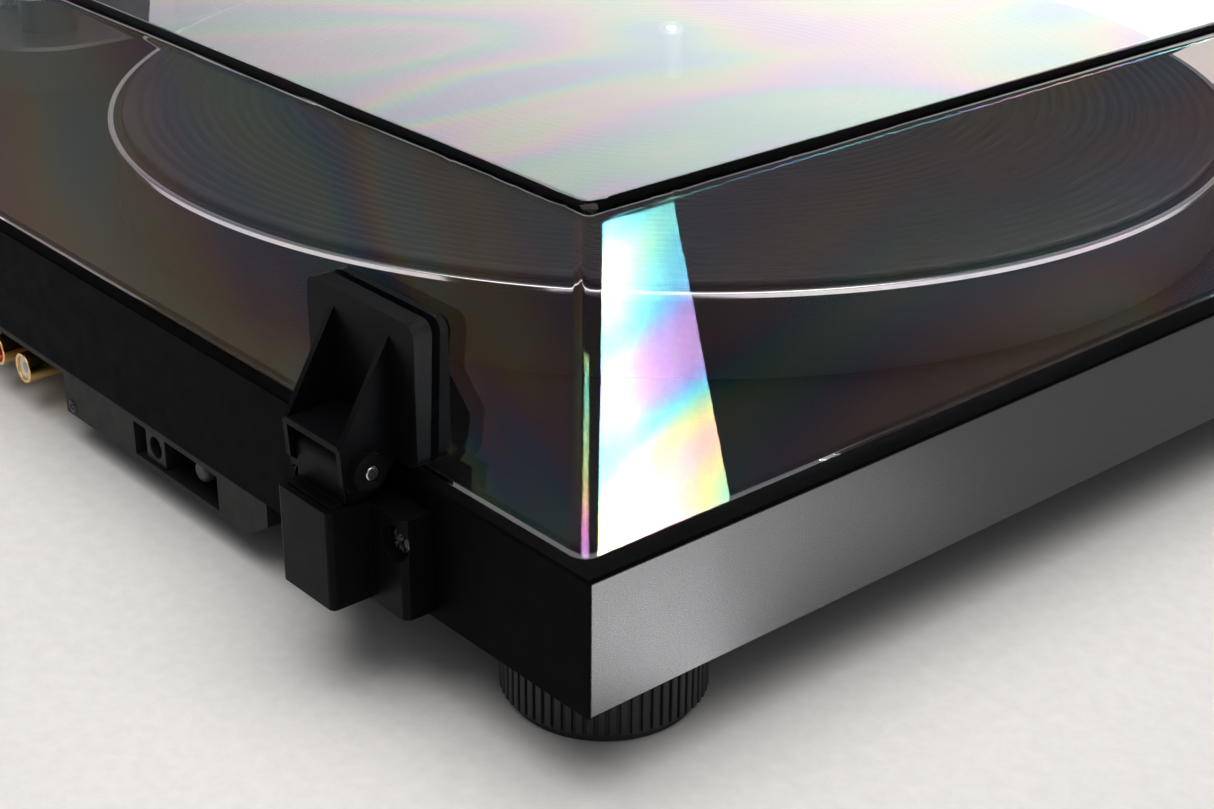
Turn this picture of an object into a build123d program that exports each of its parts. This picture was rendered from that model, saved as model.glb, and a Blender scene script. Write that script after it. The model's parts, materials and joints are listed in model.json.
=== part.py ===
from build123d import *
import os
from math import cos, radians, sin, tan

# A record player on four levelling feet, with a hinged clear cover.
# Millimetres. +X is the player's right seen from its front, +Y its back, +Z up.
# The origin is on the floor, at the middle of the outline with the hinge sockets.

os.makedirs("parts", exist_ok=True)

# ---- driving dimensions ----
plinth_width = 435.0
plinth_depth = 355.0
plinth_height = 30.0
foot_height = 20.0
deck_thickness = 9.0
panel_thickness = 1.2
panel_lip = 0.6

tray_side_gap = 112.0
tray_depth = 250.0
tray_height = 12.0
tray_wall = 2.5
tray_chamfer_width = 10.0
tray_chamfer_height = 6.0

foot_radius = 22.0
foot_collar_extra = 0.4
foot_grip_height = 12.5
foot_inset = 29.5
foot_gap = 0.4
foot_pad_radius = 20.0
foot_pad_height = 3.0
foot_stud_radius = 4.0
foot_stud_length = 14.0
insert_wall = 2.2

cover_gap = 1.5
cover_height = 67.5
cover_wall = 3.0
cover_draft = 2.8
cover_corner_radius = 4.0
cover_inner_corner_radius = 1.2
cover_top_round = 3.5
cover_inset_back = 1.8
cover_inset_side = 3.7

hinge_inset = 69.2
hinge_axis_out = 8.0
hinge_axis_up = 2.5
hinge_pin_radius = 1.5
knuckle_radius = 4.3
knuckle_half_width = 8.4
socket_depth = 17.0
socket_half_width = 9.3
socket_wall = 1.6
socket_height = 22.3
socket_drop = 5.2
ear_depth = 7.0
ear_half_width = 20.8
ear_height = 23.0
ear_screw_offset = 17.2
ear_screw_up = 16.9
leaf_width = 37.0
leaf_height = 31.2
leaf_face_out = 1.2
leaf_reach_in = 8.2
leaf_corner_radius = 3.0
rib_offset = 9.5
rib_thickness = 1.5
boss_radius = 4.0
boss_length = 1.8

platter_radius = 153.0
platter_inset_x = 165.1
platter_inset_y = 170.3
platter_gap = 2.5
platter_rim_up = 23.0
platter_plate = 7.0
platter_wall = 6.0
ring_width = 1.6
mat_margin = 4.0
mat_height = 3.5
mat_proud = 1.5
spindle_radius = 3.6
spindle_up = 14.0
spindle_step = 0.3
spindle_shoulder = 0.5
spindle_tip_round = 2.6
shaft_radius = 4.0
sub_platter_radius = 62.0
sub_platter_height = 9.0
bearing_radius = 10.0
bearing_flange_radius = 19.0
bearing_flange_height = 3.0
bearing_floor = 3.0

motor_distance = 100.0
motor_bearing_angle = 60.0
motor_radius = 17.0
motor_height = 22.0
pulley_radius = 6.0
belt_thickness = 0.8
belt_width = 5.0

arm_mount_distance = 214.8
arm_mount_angle = 24.56
arm_tube_radius = 4.5
arm_height = 40.0
arm_tube_length = 188.0
offset_angle = 23.0
shell_length = 45.0
arm_base_radius = 26.0
arm_base_height = 14.0
weight_radius = 15.0
weight_length = 24.0
cradle_distance = 100.0
lift_radius = 45.0

running_clearance = 0.05
slide_clearance = 0.2
air = 0.4

# ---- places worked out from the sizes above ----
plinth_z = foot_height
deck_z = plinth_z + plinth_height
side_x = plinth_width / 2
back_y = (plinth_depth - socket_depth) / 2
front_y = back_y - plinth_depth
middle_y = back_y - plinth_depth / 2
tray_z = plinth_z - tray_height
tray_half_width = side_x - tray_side_gap

platter_x = -side_x + platter_inset_x
platter_y = back_y - platter_inset_y
platter_z = deck_z + platter_gap
mat_radius = platter_radius - mat_margin
rim_z = deck_z + platter_rim_up
mat_z = rim_z - (mat_height - mat_proud)
mat_top = mat_z + mat_height
sub_platter_z = rim_z - (mat_height - mat_proud) - platter_plate - sub_platter_height

pivot_x = platter_x + arm_mount_distance * cos(radians(arm_mount_angle))
pivot_y = platter_y + arm_mount_distance * sin(radians(arm_mount_angle))
arm_z = deck_z + arm_height
base_top = deck_z + arm_base_height


# =====================================================================
# Plinth, trim and lower tray
# =====================================================================
tray_boss_radius = 5.0
tray_boss_inset = tray_chamfer_width + tray_boss_radius + 2
tray_screw_xs = (-tray_half_width + tray_boss_inset, tray_half_width - tray_boss_inset)
tray_screw_ys = (back_y - 24.0, back_y - tray_depth / 2, back_y - tray_depth + 12.0)
tray_screw_places = [(x, y) for x in tray_screw_xs for y in tray_screw_ys]
tray_screw_bite = 10.0
cavity_half_width = tray_half_width - tray_boss_inset - tray_boss_radius - 3
cavity_back = back_y - 12
cavity_front = back_y - tray_depth + 12
motor_x = platter_x + motor_distance * cos(radians(motor_bearing_angle))
motor_y = platter_y + motor_distance * sin(radians(motor_bearing_angle))
motor_hole_radius = pulley_radius + 2.5
start_x, start_y, start_radius = -side_x + 32.5, front_y + 31.0, 11.0
speed_x, speed_y, speed_radius = -side_x + 67.5, front_y + 31.0, 9.0
button_sink = 6.0
screw_shank_radius = 1.6
screw_length = 14.0
corners = {
    "front_left": (-side_x + foot_inset, front_y + foot_inset),
    "front_right": (side_x - foot_inset, front_y + foot_inset),
    "back_left": (-side_x + foot_inset, back_y - foot_inset),
    "back_right": (side_x - foot_inset, back_y - foot_inset),
}
insert_radius = foot_stud_radius + running_clearance + insert_wall
insert_length = foot_stud_length + 2.0
hinge_xs = {"left": -side_x + hinge_inset, "right": side_x - hinge_inset}
axis_y = back_y + hinge_axis_out
axis_z = deck_z + hinge_axis_up
ear_z = deck_z - socket_drop - ear_height - 0.3
screw_z = ear_z + ear_screw_up
side_panel_y = (front_y + panel_lip + back_y - panel_lip) / 2
side_panel_length = plinth_depth - 2 * panel_lip
panel_height = plinth_height - panel_lip
front_panel_width = plinth_width - 2 * (panel_thickness + panel_lip)

with BuildPart() as left_panel:
    with BuildSketch(Plane.XY.offset(plinth_z)):
        with Locations((-side_x + panel_thickness / 2, side_panel_y)):
            Rectangle(panel_thickness, side_panel_length)
    extrude(amount=panel_height)
left_panel.part.label = "left_panel"
export_step(left_panel.part, "parts/left_panel.step")

with BuildPart() as right_panel:
    with BuildSketch(Plane.XY.offset(plinth_z)):
        with Locations((side_x - panel_thickness / 2, side_panel_y)):
            Rectangle(panel_thickness, side_panel_length)
    extrude(amount=panel_height)
right_panel.part.label = "right_panel"
export_step(right_panel.part, "parts/right_panel.step")

with BuildPart() as front_panel:
    with BuildSketch(Plane.XY.offset(plinth_z)):
        with Locations((0, front_y + panel_thickness / 2)):
            Rectangle(front_panel_width, panel_thickness)
    extrude(amount=panel_height)
front_panel.part.label = "front_panel"
export_step(front_panel.part, "parts/front_panel.step")

# The plinth is a thick board with a black deck and back; its underside is hollowed over the tray.
with BuildPart() as plinth_body:
    with BuildSketch(Plane.XY.offset(plinth_z)):
        with Locations((0, middle_y)):
            Rectangle(plinth_width, plinth_depth)
    extrude(amount=plinth_height)
    chamfer(plinth_body.faces().sort_by(Axis.Z)[-1].edges(), 0.5)
    with BuildSketch(Plane.XY.offset(plinth_z)):
        with Locations((0, (cavity_back + cavity_front) / 2)):
            Rectangle(2 * cavity_half_width, cavity_back - cavity_front)
    extrude(amount=plinth_height - deck_thickness, mode=Mode.SUBTRACT)
    with BuildSketch(Plane.XY.offset(plinth_z)):
        with Locations((platter_x, platter_y)):
            Circle(bearing_radius)
        with Locations((motor_x, motor_y)):
            Circle(motor_hole_radius)
    extrude(amount=plinth_height, mode=Mode.SUBTRACT)
    with BuildSketch(Plane.XY.offset(plinth_z)):
        with Locations(*tray_screw_places):
            Circle(screw_shank_radius)
    extrude(amount=tray_screw_bite, mode=Mode.SUBTRACT)
    with BuildSketch(Plane.XY.offset(deck_z - button_sink)):
        with Locations((start_x, start_y)):
            Circle(start_radius + slide_clearance)
        with Locations((speed_x, speed_y)):
            Circle(shaft_radius + running_clearance)
    extrude(amount=button_sink, mode=Mode.SUBTRACT)
    with BuildSketch(Plane.XY.offset(plinth_z)):
        with Locations(*corners.values()):
            Circle(insert_radius)
    extrude(amount=insert_length, mode=Mode.SUBTRACT)
    with BuildSketch(Plane.XZ.offset(-back_y)):
        for hinge_x in hinge_xs.values():
            with Locations((hinge_x - ear_screw_offset, screw_z), (hinge_x + ear_screw_offset, screw_z)):
                Circle(screw_shank_radius)
    extrude(amount=screw_length - ear_depth + 2, mode=Mode.SUBTRACT)
    add(left_panel.part, mode=Mode.SUBTRACT)
    add(right_panel.part, mode=Mode.SUBTRACT)
    add(front_panel.part, mode=Mode.SUBTRACT)
plinth_body.part.label = "plinth_body"
export_step(plinth_body.part, "parts/plinth_body.step")

with BuildPart() as foot_inserts:
    with BuildSketch(Plane.XY.offset(plinth_z)):
        with Locations(*corners.values()):
            Circle(insert_radius)
            Circle(foot_stud_radius + running_clearance, mode=Mode.SUBTRACT)
    extrude(amount=insert_length)
foot_inserts.part.label = "foot_inserts"
export_step(foot_inserts.part, "parts/foot_inserts.step")

# Connector places along the back, from the middle of the player.
rca_xs = {"white": 13.2, "red": 28.2}
rca_z = tray_z + 4.6
line_z = rca_z + 1.0
rca_shell_radius = 4.15
rca_neck_radius = 3.7
rca_bore_radius = 3.2
rca_pin_radius = 1.6
rca_stand_off = 0.6
rca_setback = 1.0
rca_insert_sink = 0.8
line_switch_x = -1.0
line_switch_size = (9.0, 5.0)
line_slot_height = 2.6
line_slider_size = (2.4, 2.2)
ground_radius = 2.0
ground_x = 41.5
connector_z = tray_z + tray_height / 2
dc_x, dc_setback = -53.5, 1.0
dc_size = (9.0, 8.5)
dc_depth, dc_back = 9.0, 1.4
power_x, power_setback = -71.5, 2.6
power_switch_size = (8.0, 7.0)
power_socket = 4.6
power_plunger = 4.2
power_head_radius = 2.9
rca_niche = (-9.0, 49.0, 10.0)
power_niche = (-84.0, -45.0, 9.0)
niche_lid = 1.5
tray_screw_head_radius = 3.0
tray_screw_head_height = 2.0

with BuildPart() as bottom_tray:
    with BuildSketch(Plane.XZ.offset(-back_y)):
        with BuildLine():
            Polyline(
                (-tray_half_width, plinth_z),
                (-tray_half_width, tray_z + tray_chamfer_height),
                (-tray_half_width + tray_chamfer_width, tray_z),
                (tray_half_width - tray_chamfer_width, tray_z),
                (tray_half_width, tray_z + tray_chamfer_height),
                (tray_half_width, plinth_z),
                close=True,
            )
        make_face()
    extrude(amount=tray_depth)
    with BuildSketch(Plane.XY.offset(plinth_z)):
        with Locations((0, back_y - tray_depth / 2)):
            Rectangle(2 * (tray_half_width - tray_wall), tray_depth - 2 * tray_wall)
    extrude(amount=-(tray_height - tray_chamfer_height), mode=Mode.SUBTRACT)
    with BuildSketch(Plane.XY.offset(tray_z + tray_chamfer_height)):
        with Locations((0, back_y - tray_depth / 2)):
            Rectangle(2 * (tray_half_width - tray_chamfer_width - tray_wall), tray_depth - 2 * tray_wall)
    extrude(amount=-(tray_chamfer_height - tray_wall), mode=Mode.SUBTRACT)
    with BuildSketch(Plane.XY.offset(tray_z)):
        with Locations(*tray_screw_places):
            Circle(tray_boss_radius)
    extrude(amount=tray_height)
    with BuildSketch(Plane.XY.offset(tray_z)):
        with Locations(*tray_screw_places):
            Circle(screw_shank_radius + running_clearance)
    extrude(amount=tray_height, mode=Mode.SUBTRACT)
    with BuildSketch(Plane.XY.offset(tray_z)):
        with Locations(*tray_screw_places):
            Circle(tray_screw_head_radius + slide_clearance)
    extrude(amount=tray_screw_head_height, mode=Mode.SUBTRACT)
    # A solid bar behind each niche carries the connectors, and the niches are cut into it.
    for low_x, high_x, depth in (rca_niche, power_niche):
        with BuildSketch(Plane.XY.offset(tray_z)):
            with Locations(((low_x + high_x) / 2, back_y - (depth + tray_wall) / 2)):
                Rectangle(high_x - low_x + 2 * tray_wall, depth + tray_wall)
        extrude(amount=tray_height)
    with BuildSketch(Plane.XY.offset(tray_z)):
        low_x, high_x, depth = rca_niche
        with Locations(((low_x + high_x) / 2, back_y - depth / 2)):
            Rectangle(high_x - low_x, depth)
    extrude(amount=tray_height - niche_lid, mode=Mode.SUBTRACT)
    with BuildSketch(Plane.XY.offset(tray_z + niche_lid)):
        low_x, high_x, depth = power_niche
        with Locations(((low_x + high_x) / 2, back_y - depth / 2)):
            Rectangle(high_x - low_x, depth)
    extrude(amount=tray_height - 2 * niche_lid, mode=Mode.SUBTRACT)
    with BuildSketch(Plane.XZ.offset(-back_y)):
        with Locations(*[(x, rca_z) for x in rca_xs.values()]):
            Circle(rca_neck_radius)
        with Locations((line_switch_x, line_z)):
            Rectangle(*line_switch_size)
        with Locations((ground_x, line_z)):
            Circle(ground_radius)
        with Locations((dc_x, connector_z)):
            Rectangle(*dc_size)
        with Locations((power_x, connector_z)):
            Rectangle(*power_switch_size)
    extrude(amount=rca_niche[2] + tray_wall, mode=Mode.SUBTRACT)
bottom_tray.part.label = "bottom_tray"
export_step(bottom_tray.part, "parts/bottom_tray.step")


# Tray screws go up through its bosses into the board, with their heads sunk in the tray.
with BuildPart() as tray_screws:
    with BuildSketch(Plane.XY.offset(tray_z)):
        with Locations(*tray_screw_places):
            Circle(tray_screw_head_radius)
    extrude(amount=tray_screw_head_height)
    with BuildSketch(Plane.XY.offset(tray_z + tray_screw_head_height)):
        with Locations(*tray_screw_places):
            Circle(screw_shank_radius)
    extrude(amount=tray_height - tray_screw_head_height + tray_screw_bite)
tray_screws.part.label = "tray_screws"
export_step(tray_screws.part, "parts/tray_screws.step")


# =====================================================================
# Connectors and switches in the tray's back
# =====================================================================
niche_wall_y = back_y - rca_niche[2]

with BuildPart() as rca_shells:
    with BuildSketch(Plane.XZ.offset(-(niche_wall_y - tray_wall))):
        with Locations(*[(x, rca_z) for x in rca_xs.values()]):
            Circle(rca_neck_radius)
    extrude(amount=-(tray_wall + rca_stand_off))
    with BuildSketch(Plane.XZ.offset(-(niche_wall_y + rca_stand_off))):
        with Locations(*[(x, rca_z) for x in rca_xs.values()]):
            Circle(rca_shell_radius)
    extrude(amount=-(rca_niche[2] + rca_setback - rca_stand_off))
    with BuildSketch(Plane.XZ.offset(-(niche_wall_y - tray_wall))):
        with Locations(*[(x, rca_z) for x in rca_xs.values()]):
            Circle(rca_bore_radius)
    extrude(amount=-(tray_wall + rca_niche[2] + rca_setback), mode=Mode.SUBTRACT)
rca_shells.part.label = "rca_shells"
export_step(rca_shells.part, "parts/rca_shells.step")

for colour, rca_x in rca_xs.items():
    with BuildPart() as rca_insert:
        with BuildSketch(Plane.XZ.offset(-(niche_wall_y - tray_wall))):
            with Locations((rca_x, rca_z)):
                Circle(rca_bore_radius)
                Circle(rca_pin_radius, mode=Mode.SUBTRACT)
        extrude(amount=-(rca_niche[2] + tray_wall + rca_setback - rca_insert_sink))
    rca_insert.part.label = f"rca_insert_{colour}"
    export_step(rca_insert.part, f"parts/rca_insert_{colour}.step")

nut_radius = 3.6
nut_length = 3.2
with BuildPart() as ground_post:
    with BuildSketch(Plane.XZ.offset(-(niche_wall_y - tray_wall))):
        with Locations((ground_x, line_z)):
            Circle(ground_radius)
    extrude(amount=-(rca_niche[2] + tray_wall - 1))
ground_post.part.label = "ground_post"
export_step(ground_post.part, "parts/ground_post.step")

with BuildPart() as ground_nut:
    with BuildSketch(Plane.XZ.offset(-(niche_wall_y + air))):
        with Locations((ground_x, line_z)):
            Circle(nut_radius)
            Circle(ground_radius + running_clearance, mode=Mode.SUBTRACT)
    extrude(amount=-nut_length)
ground_nut.part.label = "ground_nut"
export_step(ground_nut.part, "parts/ground_nut.step")

slider_travel = 2.4
line_slot_depth = 1.0
line_switch_back = 3.0
line_slider_length = 3.2
line_switch_y = niche_wall_y - 1.0
with BuildPart() as line_switch:
    with BuildSketch(Plane.XZ.offset(-line_switch_y)):
        with Locations((line_switch_x, line_z)):
            Rectangle(*line_switch_size)
            Rectangle(line_slider_size[0] + slider_travel + 0.6, line_slot_height, mode=Mode.SUBTRACT)
    extrude(amount=line_slot_depth)
    with BuildSketch(Plane.XZ.offset(-(line_switch_y - line_slot_depth))):
        with Locations((line_switch_x, line_z)):
            Rectangle(*line_switch_size)
    extrude(amount=line_switch_back)
line_switch.part.label = "line_switch"
export_step(line_switch.part, "parts/line_switch.step")

with BuildPart() as line_slider:
    with BuildSketch(Plane.XZ.offset(-(line_switch_y - 0.8))):
        with Locations((line_switch_x - slider_travel / 2, line_z)):
            Rectangle(*line_slider_size)
    extrude(amount=-line_slider_length)
line_slider.part.label = "line_slider"
export_step(line_slider.part, "parts/line_slider.step")

dc_pin_radius = 1.0
dc_bore_radius = 2.8
power_wall_y = back_y - power_niche[2]
with BuildPart() as dc_jack:
    with BuildSketch(Plane.XZ.offset(-(back_y - dc_setback))):
        with Locations((dc_x, connector_z)):
            Rectangle(*dc_size)
            Circle(dc_bore_radius, mode=Mode.SUBTRACT)
    extrude(amount=dc_depth)
    with BuildSketch(Plane.XZ.offset(-(back_y - dc_setback - dc_depth))):
        with Locations((dc_x, connector_z)):
            Rectangle(*dc_size)
    extrude(amount=dc_back)
    with BuildSketch(Plane.XZ.offset(-(back_y - dc_setback - dc_depth))):
        with Locations((dc_x, connector_z)):
            Circle(dc_pin_radius)
    extrude(amount=-(dc_depth - 1.5))
dc_jack.part.label = "dc_jack"
export_step(dc_jack.part, "parts/dc_jack.step")

power_travel = 3.0
power_socket_depth = 6.0
power_switch_back = 3.0
power_reach = 2.0
power_head_y = power_wall_y + power_travel + air
with BuildPart() as power_switch:
    with BuildSketch(Plane.XZ.offset(-power_wall_y)):
        with Locations((power_x, connector_z)):
            Rectangle(*power_switch_size)
            Rectangle(power_socket, power_socket, mode=Mode.SUBTRACT)
    extrude(amount=power_socket_depth)
    with BuildSketch(Plane.XZ.offset(-(power_wall_y - power_socket_depth))):
        with Locations((power_x, connector_z)):
            Rectangle(*power_switch_size)
    extrude(amount=power_switch_back)
power_switch.part.label = "power_switch"
export_step(power_switch.part, "parts/power_switch.step")

with BuildPart() as power_button:
    with BuildSketch(Plane.XZ.offset(-power_head_y)):
        with Locations((power_x, connector_z)):
            Circle(power_head_radius)
    extrude(amount=-(back_y - power_setback - power_head_y))
    fillet(power_button.faces().sort_by(Axis.Y)[-1].edges(), 1.2)
    with BuildSketch(Plane.XZ.offset(-(power_wall_y - power_reach))):
        with Locations((power_x, connector_z)):
            Rectangle(power_plunger, power_plunger)
    extrude(amount=-(power_head_y - power_wall_y + power_reach))
power_button.part.label = "power_button"
export_step(power_button.part, "parts/power_button.step")

board_z = tray_z + tray_wall + 1.5
board_standoff_radius = 2.5
board_thickness = 1.6
chip_size = 14.0
chip_height = 3.0
board_size = (130.0, 60.0)
board_y = back_y - rca_niche[2] - tray_wall - 12 - board_size[1] / 2
with BuildPart() as main_board:
    with BuildSketch(Plane.XY.offset(board_z)):
        with Locations((0, board_y)):
            Rectangle(*board_size)
    extrude(amount=board_thickness)
    with BuildSketch(Plane.XY.offset(tray_z + tray_wall)):
        with Locations((0, board_y)):
            with GridLocations(board_size[0] - 10, board_size[1] - 10, 2, 2):
                Circle(board_standoff_radius)
    extrude(amount=board_z - tray_z - tray_wall)
    with BuildSketch(Plane.XY.offset(board_z + board_thickness)):
        with Locations((-30, board_y), (22, board_y + 8)):
            Rectangle(chip_size, chip_size)
    extrude(amount=chip_height)
main_board.part.label = "main_board"
export_step(main_board.part, "parts/main_board.step")


# =====================================================================
# Levelling feet: a ring with its stud turns on a rubber pad, and both travel together
# =====================================================================
stud_top = plinth_z + foot_stud_length
ring_z = foot_pad_height - 1.0
ring_top = plinth_z - foot_gap
for corner, (foot_x, foot_y) in corners.items():
    with BuildPart() as foot:
        with BuildSketch(Plane.XY.offset(ring_z)):
            with Locations((foot_x, foot_y)):
                Circle(foot_radius)
        extrude(amount=foot_grip_height)
        with BuildSketch(Plane.XY.offset(ring_z + foot_grip_height)):
            with Locations((foot_x, foot_y)):
                Circle(foot_radius + foot_collar_extra)
        extrude(amount=ring_top - ring_z - foot_grip_height)
        with BuildSketch(Plane.XY.offset(ring_z)):
            with Locations((foot_x, foot_y)):
                Circle(foot_pad_radius + air)
        extrude(amount=foot_pad_height - ring_z + air, mode=Mode.SUBTRACT)
        with BuildSketch(Plane.XY.offset(ring_top)):
            with Locations((foot_x, foot_y)):
                Circle(foot_stud_radius)
        extrude(amount=stud_top - ring_top)
    foot.part.label = f"{corner}_foot"
    export_step(foot.part, f"parts/{corner}_foot.step")

    with BuildPart() as foot_pad:
        with BuildSketch():
            with Locations((foot_x, foot_y)):
                Circle(foot_pad_radius)
        extrude(amount=foot_pad_height)
    foot_pad.part.label = f"{corner}_foot_pad"
    export_step(foot_pad.part, f"parts/{corner}_foot_pad.step")


# =====================================================================
# Dust cover
# =====================================================================
cover_z = deck_z + cover_gap
cover_width = plinth_width - 2 * cover_inset_side
cover_depth = plinth_depth - 2 * cover_inset_back
draft_shift = cover_height * tan(radians(cover_draft))
inner_height = cover_height - cover_wall
inner_shift = inner_height * tan(radians(cover_draft))
notch_width = 26.4
notch_height = 8.0

with BuildPart() as dust_cover:
    with BuildSketch(Plane.XY.offset(cover_z)):
        with Locations((0, middle_y)):
            RectangleRounded(cover_width, cover_depth, cover_corner_radius)
    with BuildSketch(Plane.XY.offset(cover_z + cover_height)):
        with Locations((0, middle_y)):
            RectangleRounded(cover_width - 2 * draft_shift, cover_depth - 2 * draft_shift,
                             cover_corner_radius)
    loft(ruled=True)
    fillet(dust_cover.faces().sort_by(Axis.Z)[-1].edges(), cover_top_round)
    with BuildSketch(Plane.XY.offset(cover_z)):
        with Locations((0, middle_y)):
            RectangleRounded(cover_width - 2 * cover_wall, cover_depth - 2 * cover_wall,
                             cover_inner_corner_radius)
    with BuildSketch(Plane.XY.offset(cover_z + inner_height)):
        with Locations((0, middle_y)):
            RectangleRounded(cover_width - 2 * (cover_wall + inner_shift),
                             cover_depth - 2 * (cover_wall + inner_shift), cover_inner_corner_radius)
    loft(ruled=True, mode=Mode.SUBTRACT)
    with BuildSketch(Plane.XZ.offset(-back_y)):
        with Locations(*[(hinge_x, cover_z) for hinge_x in hinge_xs.values()]):
            RectangleRounded(notch_width, 2 * notch_height, 2.5)
    extrude(amount=cover_inset_back + cover_wall + 4, mode=Mode.SUBTRACT)
dust_cover.part.label = "dust_cover"
export_step(dust_cover.part, "parts/dust_cover.step")

bumper_radius = 3.0
bumper_height = cover_gap - slide_clearance
bumper_inset = 30.0
cover_front_y = front_y + cover_inset_back + cover_wall / 2 + 0.1
cover_side_x = side_x - cover_inset_side - cover_wall / 2 - 0.1
with BuildPart() as cover_bumpers:
    with BuildSketch(Plane.XY.offset(cover_z)):
        with Locations(*[(side * (side_x - bumper_inset - 20), cover_front_y) for side in (-1, 1)]):
            Rectangle(2 * bumper_radius, cover_wall - 0.4)
        with Locations(*[(side * cover_side_x, front_y + bumper_inset + 20) for side in (-1, 1)]):
            Rectangle(cover_wall - 0.4, 2 * bumper_radius)
    extrude(amount=-bumper_height)
cover_bumpers.part.label = "cover_bumpers"
export_step(cover_bumpers.part, "parts/cover_bumpers.step")


# =====================================================================
# Hinges: socket on the back, block dropped into it, leaf on the cover
# =====================================================================
socket_top = deck_z - socket_drop
socket_z = socket_top - socket_height
pocket_half_width = socket_half_width - socket_wall
pocket_back = back_y + 1.8
pocket_front = back_y + socket_depth - socket_wall
pocket_floor = socket_z + socket_wall
recess_radius = 4.0
recess_depth = 1.5
socket_head_radius = 3.4
socket_head_height = 2.4
block_head_z = socket_top + 0.3
leaf_low_z = axis_z + 0.3
pin_half_length = rib_offset + rib_thickness / 2 + boss_length + 0.6

for side, hinge_x in hinge_xs.items():
    with BuildPart() as hinge_socket:
        with BuildSketch(Plane.XY.offset(ear_z)):
            with Locations((hinge_x, back_y + ear_depth / 2)):
                Rectangle(2 * ear_half_width, ear_depth)
        extrude(amount=ear_height)
        outer_edges = hinge_socket.edges().filter_by(Axis.Z).group_by(Axis.Y)[-1]
        chamfer(outer_edges, 1.2)
        with BuildSketch(Plane.XY.offset(socket_z)):
            with Locations((hinge_x, back_y + socket_depth / 2)):
                Rectangle(2 * socket_half_width, socket_depth)
        extrude(amount=socket_height)
        box_edges = hinge_socket.edges().filter_by(Axis.Z).group_by(Axis.Y)[-1]
        fillet(box_edges, 1.4)
        with BuildSketch(Plane.XY.offset(pocket_floor)):
            with Locations((hinge_x, (pocket_back + pocket_front) / 2)):
                Rectangle(2 * pocket_half_width, pocket_front - pocket_back)
        extrude(amount=socket_height, mode=Mode.SUBTRACT)
        with BuildSketch(Plane.XZ.offset(-(back_y + ear_depth))):
            with Locations((hinge_x - ear_screw_offset, screw_z), (hinge_x + ear_screw_offset, screw_z)):
                Circle(recess_radius)
        extrude(amount=recess_depth, mode=Mode.SUBTRACT)
        with BuildSketch(Plane.XZ.offset(-(back_y + ear_depth - recess_depth))):
            with Locations((hinge_x - ear_screw_offset, screw_z), (hinge_x + ear_screw_offset, screw_z)):
                Circle(socket_head_radius)
        extrude(amount=socket_head_height, mode=Mode.SUBTRACT)
        with BuildSketch(Plane.XZ.offset(-back_y)):
            with Locations((hinge_x - ear_screw_offset, screw_z), (hinge_x + ear_screw_offset, screw_z)):
                Circle(screw_shank_radius)
        extrude(amount=-ear_depth, mode=Mode.SUBTRACT)
    hinge_socket.part.label = f"{side}_hinge_socket"
    export_step(hinge_socket.part, f"parts/{side}_hinge_socket.step")

    with BuildPart() as hinge_block:
        with BuildSketch(Plane.XY.offset(pocket_floor + slide_clearance)):
            with Locations((hinge_x, (pocket_back + pocket_front) / 2)):
                Rectangle(2 * (pocket_half_width - slide_clearance),
                          pocket_front - pocket_back - 2 * slide_clearance)
        extrude(amount=block_head_z - pocket_floor - slide_clearance)
        with BuildSketch(Plane.YZ.offset(hinge_x - knuckle_half_width)):
            with Locations((axis_y, (block_head_z + axis_z) / 2)):
                Rectangle(2 * knuckle_radius, axis_z - block_head_z)
            with Locations((axis_y, axis_z)):
                Circle(knuckle_radius)
                Circle(hinge_pin_radius, mode=Mode.SUBTRACT)
        extrude(amount=2 * knuckle_half_width)
    hinge_block.part.label = f"{side}_hinge_block"
    export_step(hinge_block.part, f"parts/{side}_hinge_block.step")

    with BuildPart() as hinge_leaf:
        with BuildSketch(Plane.XZ.offset(-(back_y + leaf_face_out))):
            with Locations((hinge_x, leaf_low_z + leaf_height / 2)):
                RectangleRounded(leaf_width, leaf_height, leaf_corner_radius)
        extrude(amount=leaf_reach_in + leaf_face_out)
        for rib_shift in (-rib_offset, rib_offset):
            with BuildSketch(Plane.YZ.offset(hinge_x + rib_shift - rib_thickness / 2)):
                with BuildLine():
                    Polyline(
                        (back_y + leaf_face_out - 0.2, axis_z + 27.7),
                        (axis_y + 6.0, axis_z + 5.8),
                        (axis_y + 5.5, axis_z - 2.5),
                        (axis_y + 3.0, axis_z - 4.6),
                        (axis_y - 3.0, axis_z - 4.6),
                        (axis_y - 6.4, axis_z - 0.8),
                        (back_y + leaf_face_out - 0.2, axis_z + 0.3),
                        close=True,
                    )
                make_face()
                with Locations((axis_y, axis_z)):
                    Circle(hinge_pin_radius + running_clearance, mode=Mode.SUBTRACT)
            extrude(amount=rib_thickness)
        for boss_start in (-rib_offset - rib_thickness / 2 - boss_length, rib_offset + rib_thickness / 2):
            with BuildSketch(Plane.YZ.offset(hinge_x + boss_start)):
                with Locations((axis_y, axis_z)):
                    Circle(boss_radius)
                    Circle(hinge_pin_radius + running_clearance, mode=Mode.SUBTRACT)
            extrude(amount=boss_length)
        with BuildSketch(Plane.YZ.offset(hinge_x - rib_offset)):
            with Locations(((back_y + axis_y + 6.0) / 2 + 0.4, axis_z + 5.75)):
                Rectangle(axis_y + 6.0 - back_y - 0.8, 1.5)
        extrude(amount=2 * rib_offset)
        add(dust_cover.part, mode=Mode.SUBTRACT)
    hinge_leaf.part.label = f"{side}_hinge_leaf"
    export_step(hinge_leaf.part, f"parts/{side}_hinge_leaf.step")

with BuildPart() as hinge_pins:
    for hinge_x in hinge_xs.values():
        with BuildSketch(Plane.YZ.offset(hinge_x - pin_half_length)):
            with Locations((axis_y, axis_z)):
                Circle(hinge_pin_radius)
        extrude(amount=2 * pin_half_length)
hinge_pins.part.label = "hinge_pins"
export_step(hinge_pins.part, "parts/hinge_pins.step")

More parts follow.
